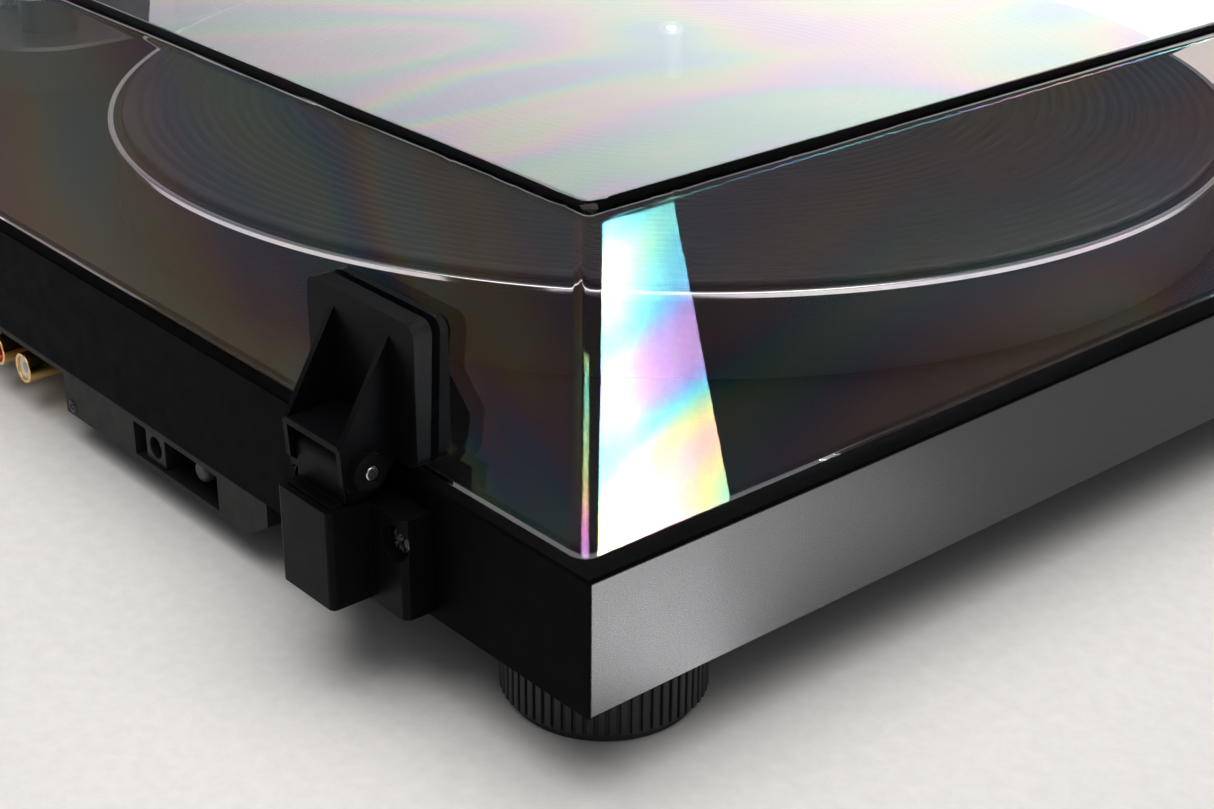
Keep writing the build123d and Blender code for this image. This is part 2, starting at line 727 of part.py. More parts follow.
with BuildPart() as socket_screws:
    ear_screws = [(x + shift, screw_z) for x in hinge_xs.values()
                  for shift in (-ear_screw_offset, ear_screw_offset)]
    with BuildSketch(Plane.XZ.offset(-(back_y + ear_depth - recess_depth))):
        with Locations(*ear_screws):
            Circle(socket_head_radius)
    extrude(amount=socket_head_height)
    with BuildSketch(Plane.XZ.offset(-(back_y + ear_depth - recess_depth - socket_head_height))):
        with Locations(*ear_screws):
            Circle(screw_shank_radius)
    extrude(amount=screw_length - ear_depth + 1)
socket_screws.part.label = "socket_screws"
export_step(socket_screws.part, "parts/socket_screws.step")


# =====================================================================
# Platter, bearing and belt drive
# =====================================================================
with BuildPart() as bearing_well:
    with BuildSketch(Plane.XY.offset(tray_z + tray_wall + 0.2)):
        with Locations((platter_x, platter_y)):
            Circle(bearing_radius)
    extrude(amount=deck_z - tray_z - tray_wall - 0.2)
    with BuildSketch(Plane.XY.offset(deck_z)):
        with Locations((platter_x, platter_y)):
            Circle(bearing_flange_radius)
    extrude(amount=bearing_flange_height)
    with BuildSketch(Plane.XY.offset(tray_z + tray_wall + bearing_floor)):
        with Locations((platter_x, platter_y)):
            Circle(shaft_radius + running_clearance)
    extrude(amount=plinth_height + tray_height + bearing_flange_height, mode=Mode.SUBTRACT)
bearing_well.part.label = "bearing_well"
export_step(bearing_well.part, "parts/bearing_well.step")

sub_platter_top = sub_platter_z + sub_platter_height
shaft_z = tray_z + tray_wall + bearing_floor + 0.3
with BuildPart() as spindle:
    with BuildSketch(Plane.XY.offset(shaft_z)):
        with Locations((platter_x, platter_y)):
            Circle(shaft_radius)
    extrude(amount=sub_platter_top - shaft_z)
    with BuildSketch(Plane.XY.offset(sub_platter_top)):
        with Locations((platter_x, platter_y)):
            Circle(spindle_radius - spindle_step)
    extrude(amount=mat_top + spindle_shoulder - sub_platter_top)
    with BuildSketch(Plane.XY.offset(mat_top + spindle_shoulder)):
        with Locations((platter_x, platter_y)):
            Circle(spindle_radius)
    extrude(amount=spindle_up - spindle_shoulder)
    fillet(spindle.faces().sort_by(Axis.Z)[-1].edges(), spindle_tip_round)
spindle.part.label = "spindle"
export_step(spindle.part, "parts/spindle.step")

with BuildPart() as sub_platter:
    with BuildSketch(Plane.XY.offset(sub_platter_z)):
        with Locations((platter_x, platter_y)):
            Circle(sub_platter_radius)
            Circle(shaft_radius, mode=Mode.SUBTRACT)
    extrude(amount=sub_platter_height)
sub_platter.part.label = "sub_platter"
export_step(sub_platter.part, "parts/sub_platter.step")

with BuildPart() as platter:
    with BuildSketch(Plane.XY.offset(platter_z)):
        with Locations((platter_x, platter_y)):
            Circle(platter_radius)
    extrude(amount=rim_z - platter_z)
    with BuildSketch(Plane.XY.offset(platter_z)):
        with Locations((platter_x, platter_y)):
            Circle(platter_radius - platter_wall)
    extrude(amount=sub_platter_top - platter_z, mode=Mode.SUBTRACT)
    with BuildSketch(Plane.XY.offset(mat_z)):
        with Locations((platter_x, platter_y)):
            Circle(mat_radius + slide_clearance)
    extrude(amount=rim_z - mat_z, mode=Mode.SUBTRACT)
    with BuildSketch(Plane.XY.offset(platter_z)):
        with Locations((platter_x, platter_y)):
            Circle(spindle_radius + running_clearance)
    extrude(amount=rim_z - platter_z, mode=Mode.SUBTRACT)
    with BuildSketch(Plane.XY.offset(rim_z - ring_width)):
        with Locations((platter_x, platter_y)):
            Circle(platter_radius)
            Circle(platter_radius - ring_width, mode=Mode.SUBTRACT)
    extrude(amount=ring_width, mode=Mode.SUBTRACT)
platter.part.label = "platter"
export_step(platter.part, "parts/platter.step")

with BuildPart() as platter_ring:
    with BuildSketch(Plane.XY.offset(rim_z - ring_width)):
        with Locations((platter_x, platter_y)):
            Circle(platter_radius)
            Circle(platter_radius - ring_width, mode=Mode.SUBTRACT)
    extrude(amount=ring_width)
platter_ring.part.label = "platter_ring"
export_step(platter_ring.part, "parts/platter_ring.step")

with BuildPart() as platter_mat:
    with BuildSketch(Plane.XY.offset(mat_z)):
        with Locations((platter_x, platter_y)):
            Circle(mat_radius)
            Circle(spindle_radius + running_clearance, mode=Mode.SUBTRACT)
    extrude(amount=mat_height)
platter_mat.part.label = "platter_mat"
export_step(platter_mat.part, "parts/platter_mat.step")

motor_shaft_radius = 1.5
motor_top = deck_z - deck_thickness
pulley_drop = 1.0
pulley_low_z = sub_platter_z - pulley_drop
pulley_height = sub_platter_height
with BuildPart() as motor:
    with BuildSketch(Plane.XY.offset(motor_top)):
        with Locations((motor_x, motor_y)):
            Circle(motor_radius)
            Circle(motor_shaft_radius + running_clearance, mode=Mode.SUBTRACT)
    extrude(amount=-motor_height)
motor.part.label = "motor"
export_step(motor.part, "parts/motor.step")

with BuildPart() as motor_pulley:
    with BuildSketch(Plane.XY.offset(motor_top - motor_height + 2)):
        with Locations((motor_x, motor_y)):
            Circle(motor_shaft_radius)
    extrude(amount=pulley_low_z - motor_top + motor_height - 2)
    with BuildSketch(Plane.XY.offset(pulley_low_z)):
        with Locations((motor_x, motor_y)):
            Circle(pulley_radius)
    extrude(amount=pulley_height)
motor_pulley.part.label = "motor_pulley"
export_step(motor_pulley.part, "parts/motor_pulley.step")

belt_gap = 0.3
with BuildPart() as drive_belt:
    with BuildSketch(Plane.XY.offset(sub_platter_z + (sub_platter_height - belt_width) / 2)):
        with BuildSketch(mode=Mode.PRIVATE) as belt_inside:
            with Locations((platter_x, platter_y)):
                Circle(sub_platter_radius + belt_gap)
            with Locations((motor_x, motor_y)):
                Circle(pulley_radius + belt_gap)
            make_hull()
        add(belt_inside.sketch)
        offset(amount=belt_thickness, kind=Kind.ARC)
        add(belt_inside.sketch, mode=Mode.SUBTRACT)
    extrude(amount=belt_width)
drive_belt.part.label = "drive_belt"
export_step(drive_belt.part, "parts/drive_belt.step")


# =====================================================================
# Tonearm
# =====================================================================
pillar_radius = 9.0
pillar_height = 12.0
yoke_radius = 16.0
yoke_disc_height = 4.0
yoke_z = base_top + pillar_height + air
yoke_shaft_radius = 3.0
yoke_shaft_length = 18.0
upright_offset = 12.0
upright_thickness = 4.0
upright_half_depth = 6.5
upright_top = arm_z + 7.0
axle_radius = 1.5
pivot_block = (18.0, 20.0, 13.0)
dial_x, dial_y = pivot_x + 37.0, pivot_y - 2.0
dial_radius = 9.0
dial_height = 6.0
dial_shaft_radius = 3.0
lift_post_angle = 246.0
lift_post_x = pivot_x + lift_radius * cos(radians(lift_post_angle))
lift_post_y = pivot_y + lift_radius * sin(radians(lift_post_angle))
lift_post_radius = 2.5
lift_guide_radius = 6.5
lift_bar_gap = 0.6
lift_bar_height = 2.5
lift_bar_width = 3.5
lift_bar_top = arm_z - arm_tube_radius - lift_bar_gap
cue_x, cue_y, cue_z = pivot_x + 31.0, pivot_y - 30.0, base_top + 7.0
cue_hub_radius = 4.0
cue_hub_length = 8.0
cue_ear_thickness = 3.0
cue_pin_radius = 1.6
cue_lever_length = 40.0
cue_lever_radius = 1.7
cue_grip_length = 10.0
cue_grip_extra = 1.0
cue_ear_width = 8.0
dial_lobe = 3.0
cue_lobe_radius = 9.0
lift_lobe = 2.0

with BuildPart() as arm_base:
    with BuildSketch(Plane.XY.offset(deck_z)):
        with Locations((pivot_x, pivot_y)):
            Circle(arm_base_radius)
        with Locations((dial_x, dial_y)):
            Circle(dial_radius + dial_lobe)
        with Locations((cue_x, cue_y)):
            Circle(cue_lobe_radius)
        with Locations((lift_post_x, lift_post_y)):
            Circle(lift_guide_radius + lift_lobe)
        make_hull()
    extrude(amount=arm_base_height)
    chamfer(arm_base.faces().sort_by(Axis.Z)[-1].edges(), 1.0)
    with BuildSketch(Plane.XY.offset(base_top)):
        with Locations((pivot_x, pivot_y)):
            Circle(pillar_radius)
        with Locations((lift_post_x, lift_post_y)):
            Circle(lift_guide_radius)
    extrude(amount=pillar_height)
    with BuildSketch(Plane.YZ.offset(cue_x - cue_hub_length / 2 - cue_ear_thickness - air)):
        with Locations((cue_y, (base_top + cue_z) / 2)):
            Rectangle(cue_ear_width, cue_z - base_top)
        with Locations((cue_y, cue_z)):
            Circle(cue_ear_width / 2)
    extrude(amount=cue_ear_thickness)
    with BuildSketch(Plane.YZ.offset(cue_x + cue_hub_length / 2 + air)):
        with Locations((cue_y, (base_top + cue_z) / 2)):
            Rectangle(cue_ear_width, cue_z - base_top)
        with Locations((cue_y, cue_z)):
            Circle(cue_ear_width / 2)
    extrude(amount=cue_ear_thickness)
    with BuildSketch(Plane.YZ.offset(cue_x - 20)):
        with Locations((cue_y, cue_z)):
            Circle(cue_pin_radius + running_clearance)
    extrude(amount=40, mode=Mode.SUBTRACT)
    with BuildSketch(Plane.XY.offset(base_top + pillar_height - yoke_shaft_length - 1)):
        with Locations((pivot_x, pivot_y)):
            Circle(yoke_shaft_radius + running_clearance)
        with Locations((lift_post_x, lift_post_y)):
            Circle(lift_post_radius + running_clearance)
    extrude(amount=yoke_shaft_length + 1, mode=Mode.SUBTRACT)
    with BuildSketch(Plane.XY.offset(base_top - 6)):
        with Locations((dial_x, dial_y)):
            Circle(dial_shaft_radius + running_clearance)
    extrude(amount=6, mode=Mode.SUBTRACT)
arm_base.part.label = "arm_base"
export_step(arm_base.part, "parts/arm_base.step")

with BuildPart() as arm_yoke:
    with BuildSketch(Plane.XY.offset(yoke_z)):
        with Locations((pivot_x, pivot_y)):
            Circle(yoke_radius)
    extrude(amount=yoke_disc_height)
    with BuildSketch(Plane.XY.offset(yoke_z - yoke_shaft_length)):
        with Locations((pivot_x, pivot_y)):
            Circle(yoke_shaft_radius)
    extrude(amount=yoke_shaft_length)
    for side in (-1, 1):
        with BuildSketch(Plane.YZ.offset(pivot_x + side * upright_offset - upright_thickness / 2)):
            with Locations((pivot_y, (yoke_z + yoke_disc_height + upright_top - 4) / 2)):
                Rectangle(2 * upright_half_depth, upright_top - 4 - yoke_z - yoke_disc_height)
            with Locations((pivot_y, upright_top - 7)):
                Circle(upright_half_depth)
            with Locations((pivot_y, arm_z)):
                Circle(axle_radius + running_clearance, mode=Mode.SUBTRACT)
        extrude(amount=upright_thickness)
arm_yoke.part.label = "arm_yoke"
export_step(arm_yoke.part, "parts/arm_yoke.step")

weight_start = 34.0
rear_shaft_radius = 5.0
rear_shaft_length = weight_start + weight_length + 2
with BuildPart() as arm_tube:
    with BuildSketch(Plane.XY.offset(arm_z - pivot_block[2] / 2)):
        with Locations((pivot_x, pivot_y)):
            RectangleRounded(pivot_block[0], pivot_block[1], 3)
    extrude(amount=pivot_block[2])
    with BuildSketch(Plane.YZ.offset(pivot_x - upright_offset - upright_thickness / 2)):
        with Locations((pivot_y, arm_z)):
            Circle(axle_radius)
    extrude(amount=2 * upright_offset + upright_thickness)
    with BuildSketch(Plane.XZ.offset(-(pivot_y - pivot_block[1] / 2))):
        with Locations((pivot_x, arm_z)):
            Circle(arm_tube_radius)
    extrude(amount=arm_tube_length - pivot_block[1] / 2)
    with BuildSketch(Plane.XZ.offset(-(pivot_y + pivot_block[1] / 2))):
        with Locations((pivot_x, arm_z)):
            Circle(rear_shaft_radius)
    extrude(amount=-(rear_shaft_length - pivot_block[1] / 2))
arm_tube.part.label = "arm_tube"
export_step(arm_tube.part, "parts/arm_tube.step")

# The headshell's plane stands at the end of the tube, turned inwards by the offset angle.
tube_end_y = pivot_y - arm_tube_length
shell_width = 19.0
shell_thickness = 2.4
collar_radius = 6.0
collar_length = 8.0
shell_turn = -90 - offset_angle
shell_plane = Plane(
    origin=(pivot_x, tube_end_y, arm_z - shell_thickness / 2),
    x_dir=(cos(radians(shell_turn)), sin(radians(shell_turn)), 0),
    z_dir=(0, 0, 1),
)
with BuildPart() as headshell:
    with BuildSketch(Plane.XZ.offset(-tube_end_y)):
        with Locations((pivot_x, arm_z)):
            Circle(collar_radius)
    extrude(amount=collar_length)
    with BuildSketch(shell_plane):
        with BuildLine():
            Polyline(
                (4, -shell_width / 4), (16, -shell_width / 2), (shell_length + 8, -shell_width / 2),
                (shell_length + 12, -shell_width / 4), (shell_length + 12, shell_width / 4),
                (shell_length + 8, shell_width / 2), (16, shell_width / 2), (4, shell_width / 4),
                close=True,
            )
        make_face()
    extrude(amount=shell_thickness)
    with BuildSketch(shell_plane):
        with Locations((shell_length - 2, -shell_width / 2 - 8)):
            Rectangle(5, 16)
    extrude(amount=1.4)
headshell.part.label = "headshell"
export_step(headshell.part, "parts/headshell.step")

cartridge_height = 8.6
cartridge_plane = shell_plane.offset(-cartridge_height)
stylus_reach = 3.9
with BuildPart() as cartridge:
    with BuildSketch(cartridge_plane):
        with Locations((shell_length - 8, 0)):
            Rectangle(22, 15)
    extrude(amount=cartridge_height)
    with BuildSketch(cartridge_plane):
        with Locations((shell_length + 2, 0)):
            Rectangle(8, 18)
    extrude(amount=3.5, mode=Mode.SUBTRACT)
cartridge.part.label = "cartridge"
export_step(cartridge.part, "parts/cartridge.step")

with BuildPart() as stylus:
    with BuildSketch(cartridge_plane):
        with Locations((shell_length + 1.5, 0)):
            Rectangle(7, 10)
    extrude(amount=3.5)
    with BuildSketch(cartridge_plane.offset(-stylus_reach + 0.9)):
        with Locations((shell_length, 0)):
            Circle(0.5)
    extrude(amount=stylus_reach - 0.9)
stylus.part.label = "stylus"
export_step(stylus.part, "parts/stylus.step")

dial_front = 27.4
force_dial_length = weight_start - dial_front - air
with BuildPart() as force_dial:
    with BuildSketch(Plane.XZ.offset(-(pivot_y + dial_front))):
        with Locations((pivot_x, arm_z)):
            Circle(weight_radius - 1.5)
            Circle(rear_shaft_radius + running_clearance, mode=Mode.SUBTRACT)
    extrude(amount=-force_dial_length)
force_dial.part.label = "force_dial"
export_step(force_dial.part, "parts/force_dial.step")

with BuildPart() as counterweight:
    with BuildSketch(Plane.XZ.offset(-(pivot_y + weight_start))):
        with Locations((pivot_x, arm_z)):
            Circle(weight_radius)
            Circle(rear_shaft_radius + running_clearance, mode=Mode.SUBTRACT)
    extrude(amount=-weight_length)
    rims = counterweight.edges().filter_by(GeomType.CIRCLE).group_by(SortBy.RADIUS)[-1]
    chamfer(rims, 1.0)
counterweight.part.label = "counterweight"
export_step(counterweight.part, "parts/counterweight.step")

with BuildPart() as anti_skate_dial:
    with BuildSketch(Plane.XY.offset(base_top + air)):
        with Locations((dial_x, dial_y)):
            Circle(dial_radius)
    extrude(amount=dial_height)
    with BuildSketch(Plane.XY.offset(base_top - 5.5)):
        with Locations((dial_x, dial_y)):
            Circle(dial_shaft_radius)
    extrude(amount=5.5 + air)
anti_skate_dial.part.label = "anti_skate_dial"
export_step(anti_skate_dial.part, "parts/anti_skate_dial.step")

# The lift bar is an arc about the arm's pivot, so it holds the tube at every place of its swing.
bar_start, bar_end = 219.0, 276.0
with BuildPart() as cue_lift:
    with BuildSketch(Plane.XY.offset(lift_bar_top - lift_bar_height)):
        with BuildLine():
            CenterArc((pivot_x, pivot_y), lift_radius - lift_bar_width / 2, bar_start,
                      bar_end - bar_start)
            CenterArc((pivot_x, pivot_y), lift_radius + lift_bar_width / 2, bar_start,
                      bar_end - bar_start)
            for angle in (bar_start, bar_end):
                ux, uy = cos(radians(angle)), sin(radians(angle))
                inner, outer = lift_radius - lift_bar_width / 2, lift_radius + lift_bar_width / 2
                Line((pivot_x + inner * ux, pivot_y + inner * uy),
                     (pivot_x + outer * ux, pivot_y + outer * uy))
        make_face()
    extrude(amount=lift_bar_height)
    with BuildSketch(Plane.XY.offset(base_top - 4)):
        with Locations((lift_post_x, lift_post_y)):
            Circle(lift_post_radius)
    extrude(amount=lift_bar_top - lift_bar_height - base_top + 4)
cue_lift.part.label = "cue_lift"
export_step(cue_lift.part, "parts/cue_lift.step")

with BuildPart() as cue_lever:
    with BuildSketch(Plane.YZ.offset(cue_x - cue_hub_length / 2)):
        with Locations((cue_y, cue_z)):
            Circle(cue_hub_radius)
    extrude(amount=cue_hub_length)
    with BuildSketch(Plane.YZ.offset(cue_x - cue_hub_length / 2 - cue_ear_thickness)):
        with Locations((cue_y, cue_z)):
            Circle(cue_pin_radius)
    extrude(amount=cue_hub_length + 2 * cue_ear_thickness)
    with BuildSketch(Plane.XZ.offset(-cue_y)):
        with Locations((cue_x, cue_z)):
            Circle(cue_lever_radius)
    extrude(amount=cue_lever_length - cue_grip_length)
    with BuildSketch(Plane.XZ.offset(-(cue_y - cue_lever_length + cue_grip_length))):
        with Locations((cue_x, cue_z)):
            Circle(cue_lever_radius + cue_grip_extra)
    extrude(amount=cue_grip_length)
cue_lever.part.label = "cue_lever"
export_step(cue_lever.part, "parts/cue_lever.step")

# The rest is a post with a shelf under the tube and a wall on its outer side; the clip folds over it.
rest_y = pivot_y - cradle_distance
rest_post_radius = 5.0
rest_foot_radius = 8.0
rest_foot_height = 3.0
rest_ear = 2.5
rest_gap = 0.3
rest_length = 10.0
shelf_top = arm_z - arm_tube_radius - rest_gap
rest_wall_x = pivot_x + arm_tube_radius + air
rest_wall = 3.0
clip_axis_x, clip_axis_z = rest_wall_x + rest_wall / 2, arm_z + 4.0
clip_axle_radius = 1.0
clip_hub_radius = 1.8
clip_open_turn = 105.0
with BuildPart() as arm_rest:
    with BuildSketch(Plane.XY.offset(deck_z)):
        with Locations((pivot_x, rest_y)):
            Circle(rest_foot_radius)
    extrude(amount=rest_foot_height)
    with BuildSketch(Plane.XY.offset(deck_z + rest_foot_height)):
        with Locations((pivot_x, rest_y)):
            Circle(rest_post_radius)
    extrude(amount=shelf_top - rest_wall - deck_z - rest_foot_height)
    with BuildSketch(Plane.XZ.offset(-(rest_y + rest_length / 2))):
        with BuildLine():
            Polyline(
                (pivot_x - arm_tube_radius, shelf_top - rest_wall),
                (rest_wall_x + rest_wall, shelf_top - rest_wall),
                (rest_wall_x + rest_wall, arm_z + 1.5),
                (rest_wall_x, arm_z + 1.5),
                (rest_wall_x, shelf_top),
                (pivot_x - arm_tube_radius, shelf_top),
                close=True,
            )
        make_face()
    extrude(amount=rest_length)
    for ear_y in (rest_y + rest_length / 2, rest_y - rest_length / 2 + rest_ear):
        with BuildSketch(Plane.XZ.offset(-ear_y)):
            with Locations((clip_axis_x, clip_axis_z - 1.5)):
                Rectangle(rest_wall, 3.0)
            with Locations((clip_axis_x, clip_axis_z)):
                Circle(rest_wall / 2 + 0.3)
                Circle(clip_axle_radius + running_clearance, mode=Mode.SUBTRACT)
        extrude(amount=rest_ear)
arm_rest.part.label = "arm_rest"
export_step(arm_rest.part, "parts/arm_rest.step")

# Drawn closed in the clip's own plane, which is turned outwards about its axle to the open place.
open_angle = radians(clip_open_turn)
clip_plane = Plane(
    origin=(clip_axis_x, rest_y + 2.2, clip_axis_z),
    x_dir=(cos(open_angle), 0, -sin(open_angle)),
    z_dir=(0, -1, 0),
)
clip_thickness = 1.6
clip_over = arm_z + arm_tube_radius + air - clip_axis_z
clip_across = clip_axis_x - pivot_x + arm_tube_radius + air
with BuildPart() as arm_clip:
    with BuildSketch(clip_plane):
        with BuildLine():
            Polyline(
                (-1.0, 0), (-1.0, clip_over),
                (-clip_across, clip_over), (-clip_across, clip_over - 6.5),
                (-clip_across - clip_thickness, clip_over - 6.5),
                (-clip_across - clip_thickness, clip_over + clip_thickness),
                (1.0, clip_over + clip_thickness), (1.0, 0),
                close=True,
            )
        make_face()
        Circle(clip_hub_radius)
    extrude(amount=4.4)
    with BuildSketch(Plane.XZ.offset(-(rest_y + rest_length / 2))):
        with Locations((clip_axis_x, clip_axis_z)):
            Circle(clip_axle_radius)
    extrude(amount=rest_length)
arm_clip.part.label = "arm_clip"
export_step(arm_clip.part, "parts/arm_clip.step")


# =====================================================================
# Controls on the deck
# =====================================================================
start_travel = 1.5
start_proud = 3.0
with BuildPart() as start_button:
    with BuildSketch(Plane.XY.offset(deck_z - button_sink + start_travel + air)):
        with Locations((start_x, start_y)):
            Circle(start_radius)
    extrude(amount=button_sink + start_proud - start_travel - air)
    fillet(start_button.faces().sort_by(Axis.Z)[-1].edges(), 0.8)
start_button.part.label = "start_button"
export_step(start_button.part, "parts/start_button.step")

speed_height = 9.0
with BuildPart() as speed_knob:
    with BuildSketch(Plane.XY.offset(deck_z + air)):
        with Locations((speed_x, speed_y)):
            Circle(speed_radius)
    extrude(amount=speed_height)
    fillet(speed_knob.faces().sort_by(Axis.Z)[-1].edges(), 0.8)
    with BuildSketch(Plane.XY.offset(deck_z - button_sink + air)):
        with Locations((speed_x, speed_y)):
            Circle(shaft_radius)
    extrude(amount=button_sink)
speed_knob.part.label = "speed_knob"
export_step(speed_knob.part, "parts/speed_knob.step")
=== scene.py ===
"""Looks of a record player with a hinged clear cover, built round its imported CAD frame."""
from __future__ import annotations

import json
import logging
import math
from dataclasses import dataclass, field
from enum import Enum
from typing import Iterable, Sequence

import bmesh
import bpy
from mathutils import Matrix, Vector

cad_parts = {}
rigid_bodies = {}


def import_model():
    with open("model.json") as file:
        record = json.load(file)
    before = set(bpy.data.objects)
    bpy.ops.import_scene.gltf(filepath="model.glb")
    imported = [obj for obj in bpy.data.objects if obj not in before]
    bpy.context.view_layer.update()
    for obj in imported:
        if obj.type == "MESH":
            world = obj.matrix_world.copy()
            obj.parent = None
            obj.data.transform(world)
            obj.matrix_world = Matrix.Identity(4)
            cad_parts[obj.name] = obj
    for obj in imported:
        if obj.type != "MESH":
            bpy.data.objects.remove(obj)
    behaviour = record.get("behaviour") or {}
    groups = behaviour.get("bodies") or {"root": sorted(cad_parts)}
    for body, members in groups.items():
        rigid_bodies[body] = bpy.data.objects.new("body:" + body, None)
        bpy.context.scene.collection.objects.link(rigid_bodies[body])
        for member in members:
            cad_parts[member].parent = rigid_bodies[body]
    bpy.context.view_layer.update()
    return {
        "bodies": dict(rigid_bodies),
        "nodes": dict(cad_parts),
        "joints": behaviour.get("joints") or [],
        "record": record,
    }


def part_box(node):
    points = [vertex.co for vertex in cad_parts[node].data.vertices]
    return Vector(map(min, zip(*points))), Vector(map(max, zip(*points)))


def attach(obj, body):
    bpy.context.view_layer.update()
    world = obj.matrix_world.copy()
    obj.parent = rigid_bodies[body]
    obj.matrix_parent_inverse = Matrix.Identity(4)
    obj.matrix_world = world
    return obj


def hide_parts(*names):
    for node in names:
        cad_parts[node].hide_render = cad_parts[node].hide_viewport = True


LOG = logging.getLogger("record_player")
MM = 0.001
FULL_TURN = 2.0 * math.pi
SIDE_SHARE = 0.42
MERGE_GAP = 2e-6
FLAT_ANGLE = math.radians(0.6)
HERE = Matrix.Identity(4)
Point = Sequence[float]


class Body(str, Enum):
    """The moving bodies that new pieces ride on, apart from those read from the record."""

    PLINTH = "plinth"
    PLATTER = "platter"
    SPEED = "speed_knob"
    NUT = "ground_nut"


class Lay(Enum):
    """Which way the fine lines of a metal finish run, as scale factors along X, Y and Z."""

    ALONG_Y = (90.0, 2.0, 90.0)
    ALONG_Z = (90.0, 90.0, 2.0)
    EVEN = (60.0, 60.0, 60.0)


class Wiring:
    """A node tree, with short calls that add and link its nodes."""

    tree: bpy.types.NodeTree

    def node(self, kind: str, fed: dict[str | int, object] | None = None,
             **settings: object) -> bpy.types.Node:
        """Adds a node.

        Args:
            kind: The node's Blender type.
            fed: What its inputs get: a socket to link, or a plain value.
            settings: Property names and values.

        Returns:
            The new node.
        """
        made = self.tree.nodes.new(kind)
        for key, value in settings.items():
            setattr(made, key, value)
        for key, value in (fed or {}).items():
            if isinstance(value, bpy.types.NodeSocket):
                self.join(value, made.inputs[key])
            else:
                made.inputs[key].default_value = value
        return made

    def join(self, source: bpy.types.NodeSocket, target: bpy.types.NodeSocket) -> None:
        """Links one socket to another."""
        self.tree.links.new(source, target)


# ---- Finishes ----
class Shader(Wiring):
    """A material's node tree, with short calls for what the finishes share."""

    def __init__(self, name: str) -> None:
        """Starts an empty material with one Principled shader.

        Args:
            name: The material's name.
        """
        self.material = bpy.data.materials.new(name)
        self.material.use_nodes = True
        self.tree = self.material.node_tree
        self.tree.nodes.clear()
        self.out = self.node("ShaderNodeOutputMaterial")
        self.main = self.node("ShaderNodeBsdfPrincipled")
        self.join(self.main.outputs[0], self.out.inputs[0])
        self.place = self.node("ShaderNodeTexCoord").outputs["Object"]

    def set(self, **values: object) -> None:
        """Sets Principled sockets; an underscore stands for a space in their names."""
        for key, value in values.items():
            self.main.inputs[key.replace("_", " ")].default_value = value

    def noise(self, scale: float, detail: float = 3.0, stretch: Point = (1.0, 1.0, 1.0),
              rough: float = 0.5) -> bpy.types.NodeSocket:
        """Adds a noise on Object coordinates.

        Args:
            scale: Cells per metre.
            detail: Octaves.
            stretch: Scale factors along X, Y and Z.
            rough: How strong the fine octaves are.

        Returns:
            The noise's value.
        """
        mapping = self.node("ShaderNodeMapping", {"Scale": stretch, "Vector": self.place})
        return self.node("ShaderNodeTexNoise", {
            "Scale": scale, "Detail": detail, "Roughness": rough, "Vector": mapping.outputs[0],
        }).outputs["Fac"]

    def span(self, value: bpy.types.NodeSocket, low: float, high: float,
             start: float = 0.3, end: float = 0.7) -> bpy.types.NodeSocket:
        """Maps a value's middle range onto low to high.

        Args:
            value: The socket to map.
            low: Result at start.
            high: Result at end.
            start: Input that gives low.
            end: Input that gives high.

        Returns:
            The mapped value.
        """
        return self.node("ShaderNodeMapRange", {
            "From Min": start, "From Max": end, "To Min": low, "To Max": high, "Value": value,
        }).outputs[0]

    def shades(self, value: bpy.types.NodeSocket,
               stops: Sequence[tuple[float, Point]]) -> bpy.types.NodeSocket:
        """Colours a value by a ramp.

        Args:
            value: The socket that drives the ramp.
            stops: Pairs of place and linear RGB.

        Returns:
            The ramp's colour.
        """
        ramp = self.node("ShaderNodeValToRGB", {0: value})
        points = ramp.color_ramp.elements
        while len(points) < len(stops):
            points.new(0.5)
        for point, (place, colour) in zip(points, stops):
            point.position = place
            point.color = (*colour, 1.0)
        return ramp.outputs[0]

    def bump(self, height: bpy.types.NodeSocket, depth: float) -> None:
        """Gives the Principled shader a bump.

        Args:
            height: The height value.
            depth: The height of one unit, in metres.
        """
        self.feed("Normal", self.node("ShaderNodeBump", {
            "Strength": 1.0, "Distance": depth, "Height": height}).outputs[0])

    def feed(self, name: str, value: bpy.types.NodeSocket) -> None:
        """Links a value to a named Principled socket."""
        self.join(value, self.main.inputs[name])


def tinted(colour: Point, factor: float) -> tuple[float, float, float]:
    """A colour with its brightness scaled."""
    return tuple(min(1.0, c * factor) for c in colour)


@dataclass(frozen=True)
class Finish:
    """A named finish, which its own kind wires up."""

    name: str

    def build(self) -> bpy.types.Material:
        """Makes the material.

        Returns:
            The material.
        """
        shader = Shader(self.name)
        self.wire(shader)
        return shader.material

    def wire(self, s: Shader) -> None:
        """Adds the nodes of this kind of finish."""
        raise NotImplementedError(self.name)


@dataclass(frozen=True)
class Moulded(Finish):
    """Moulded or painted surface: a fine grain, slow shade changes and faint handling marks."""

    colour: Point
    roughness: float = 0.4
    grain: float = 2200.0
    depth: float = 0.00002
    uneven: float = 0.12
    gloss: float = 0.3

    def wire(self, s: Shader) -> None:
        """Adds the shade changes, the marks and the grain.

        Args:
            s: The shader to wire.
        """
        s.set(Specular_IOR_Level=self.gloss)
        slow = s.noise(38.0, 4.0)
        s.feed("Base Color", s.shades(slow, ((0.3, tinted(self.colour, 1 - self.uneven)),
                                            (0.7, tinted(self.colour, 1 + self.uneven)))))
        marks = s.noise(160.0, 6.0, rough=0.62)
        s.feed("Roughness", s.span(marks, self.roughness * 0.88, self.roughness * 1.14))
        s.bump(s.noise(self.grain, 2.0), self.depth)


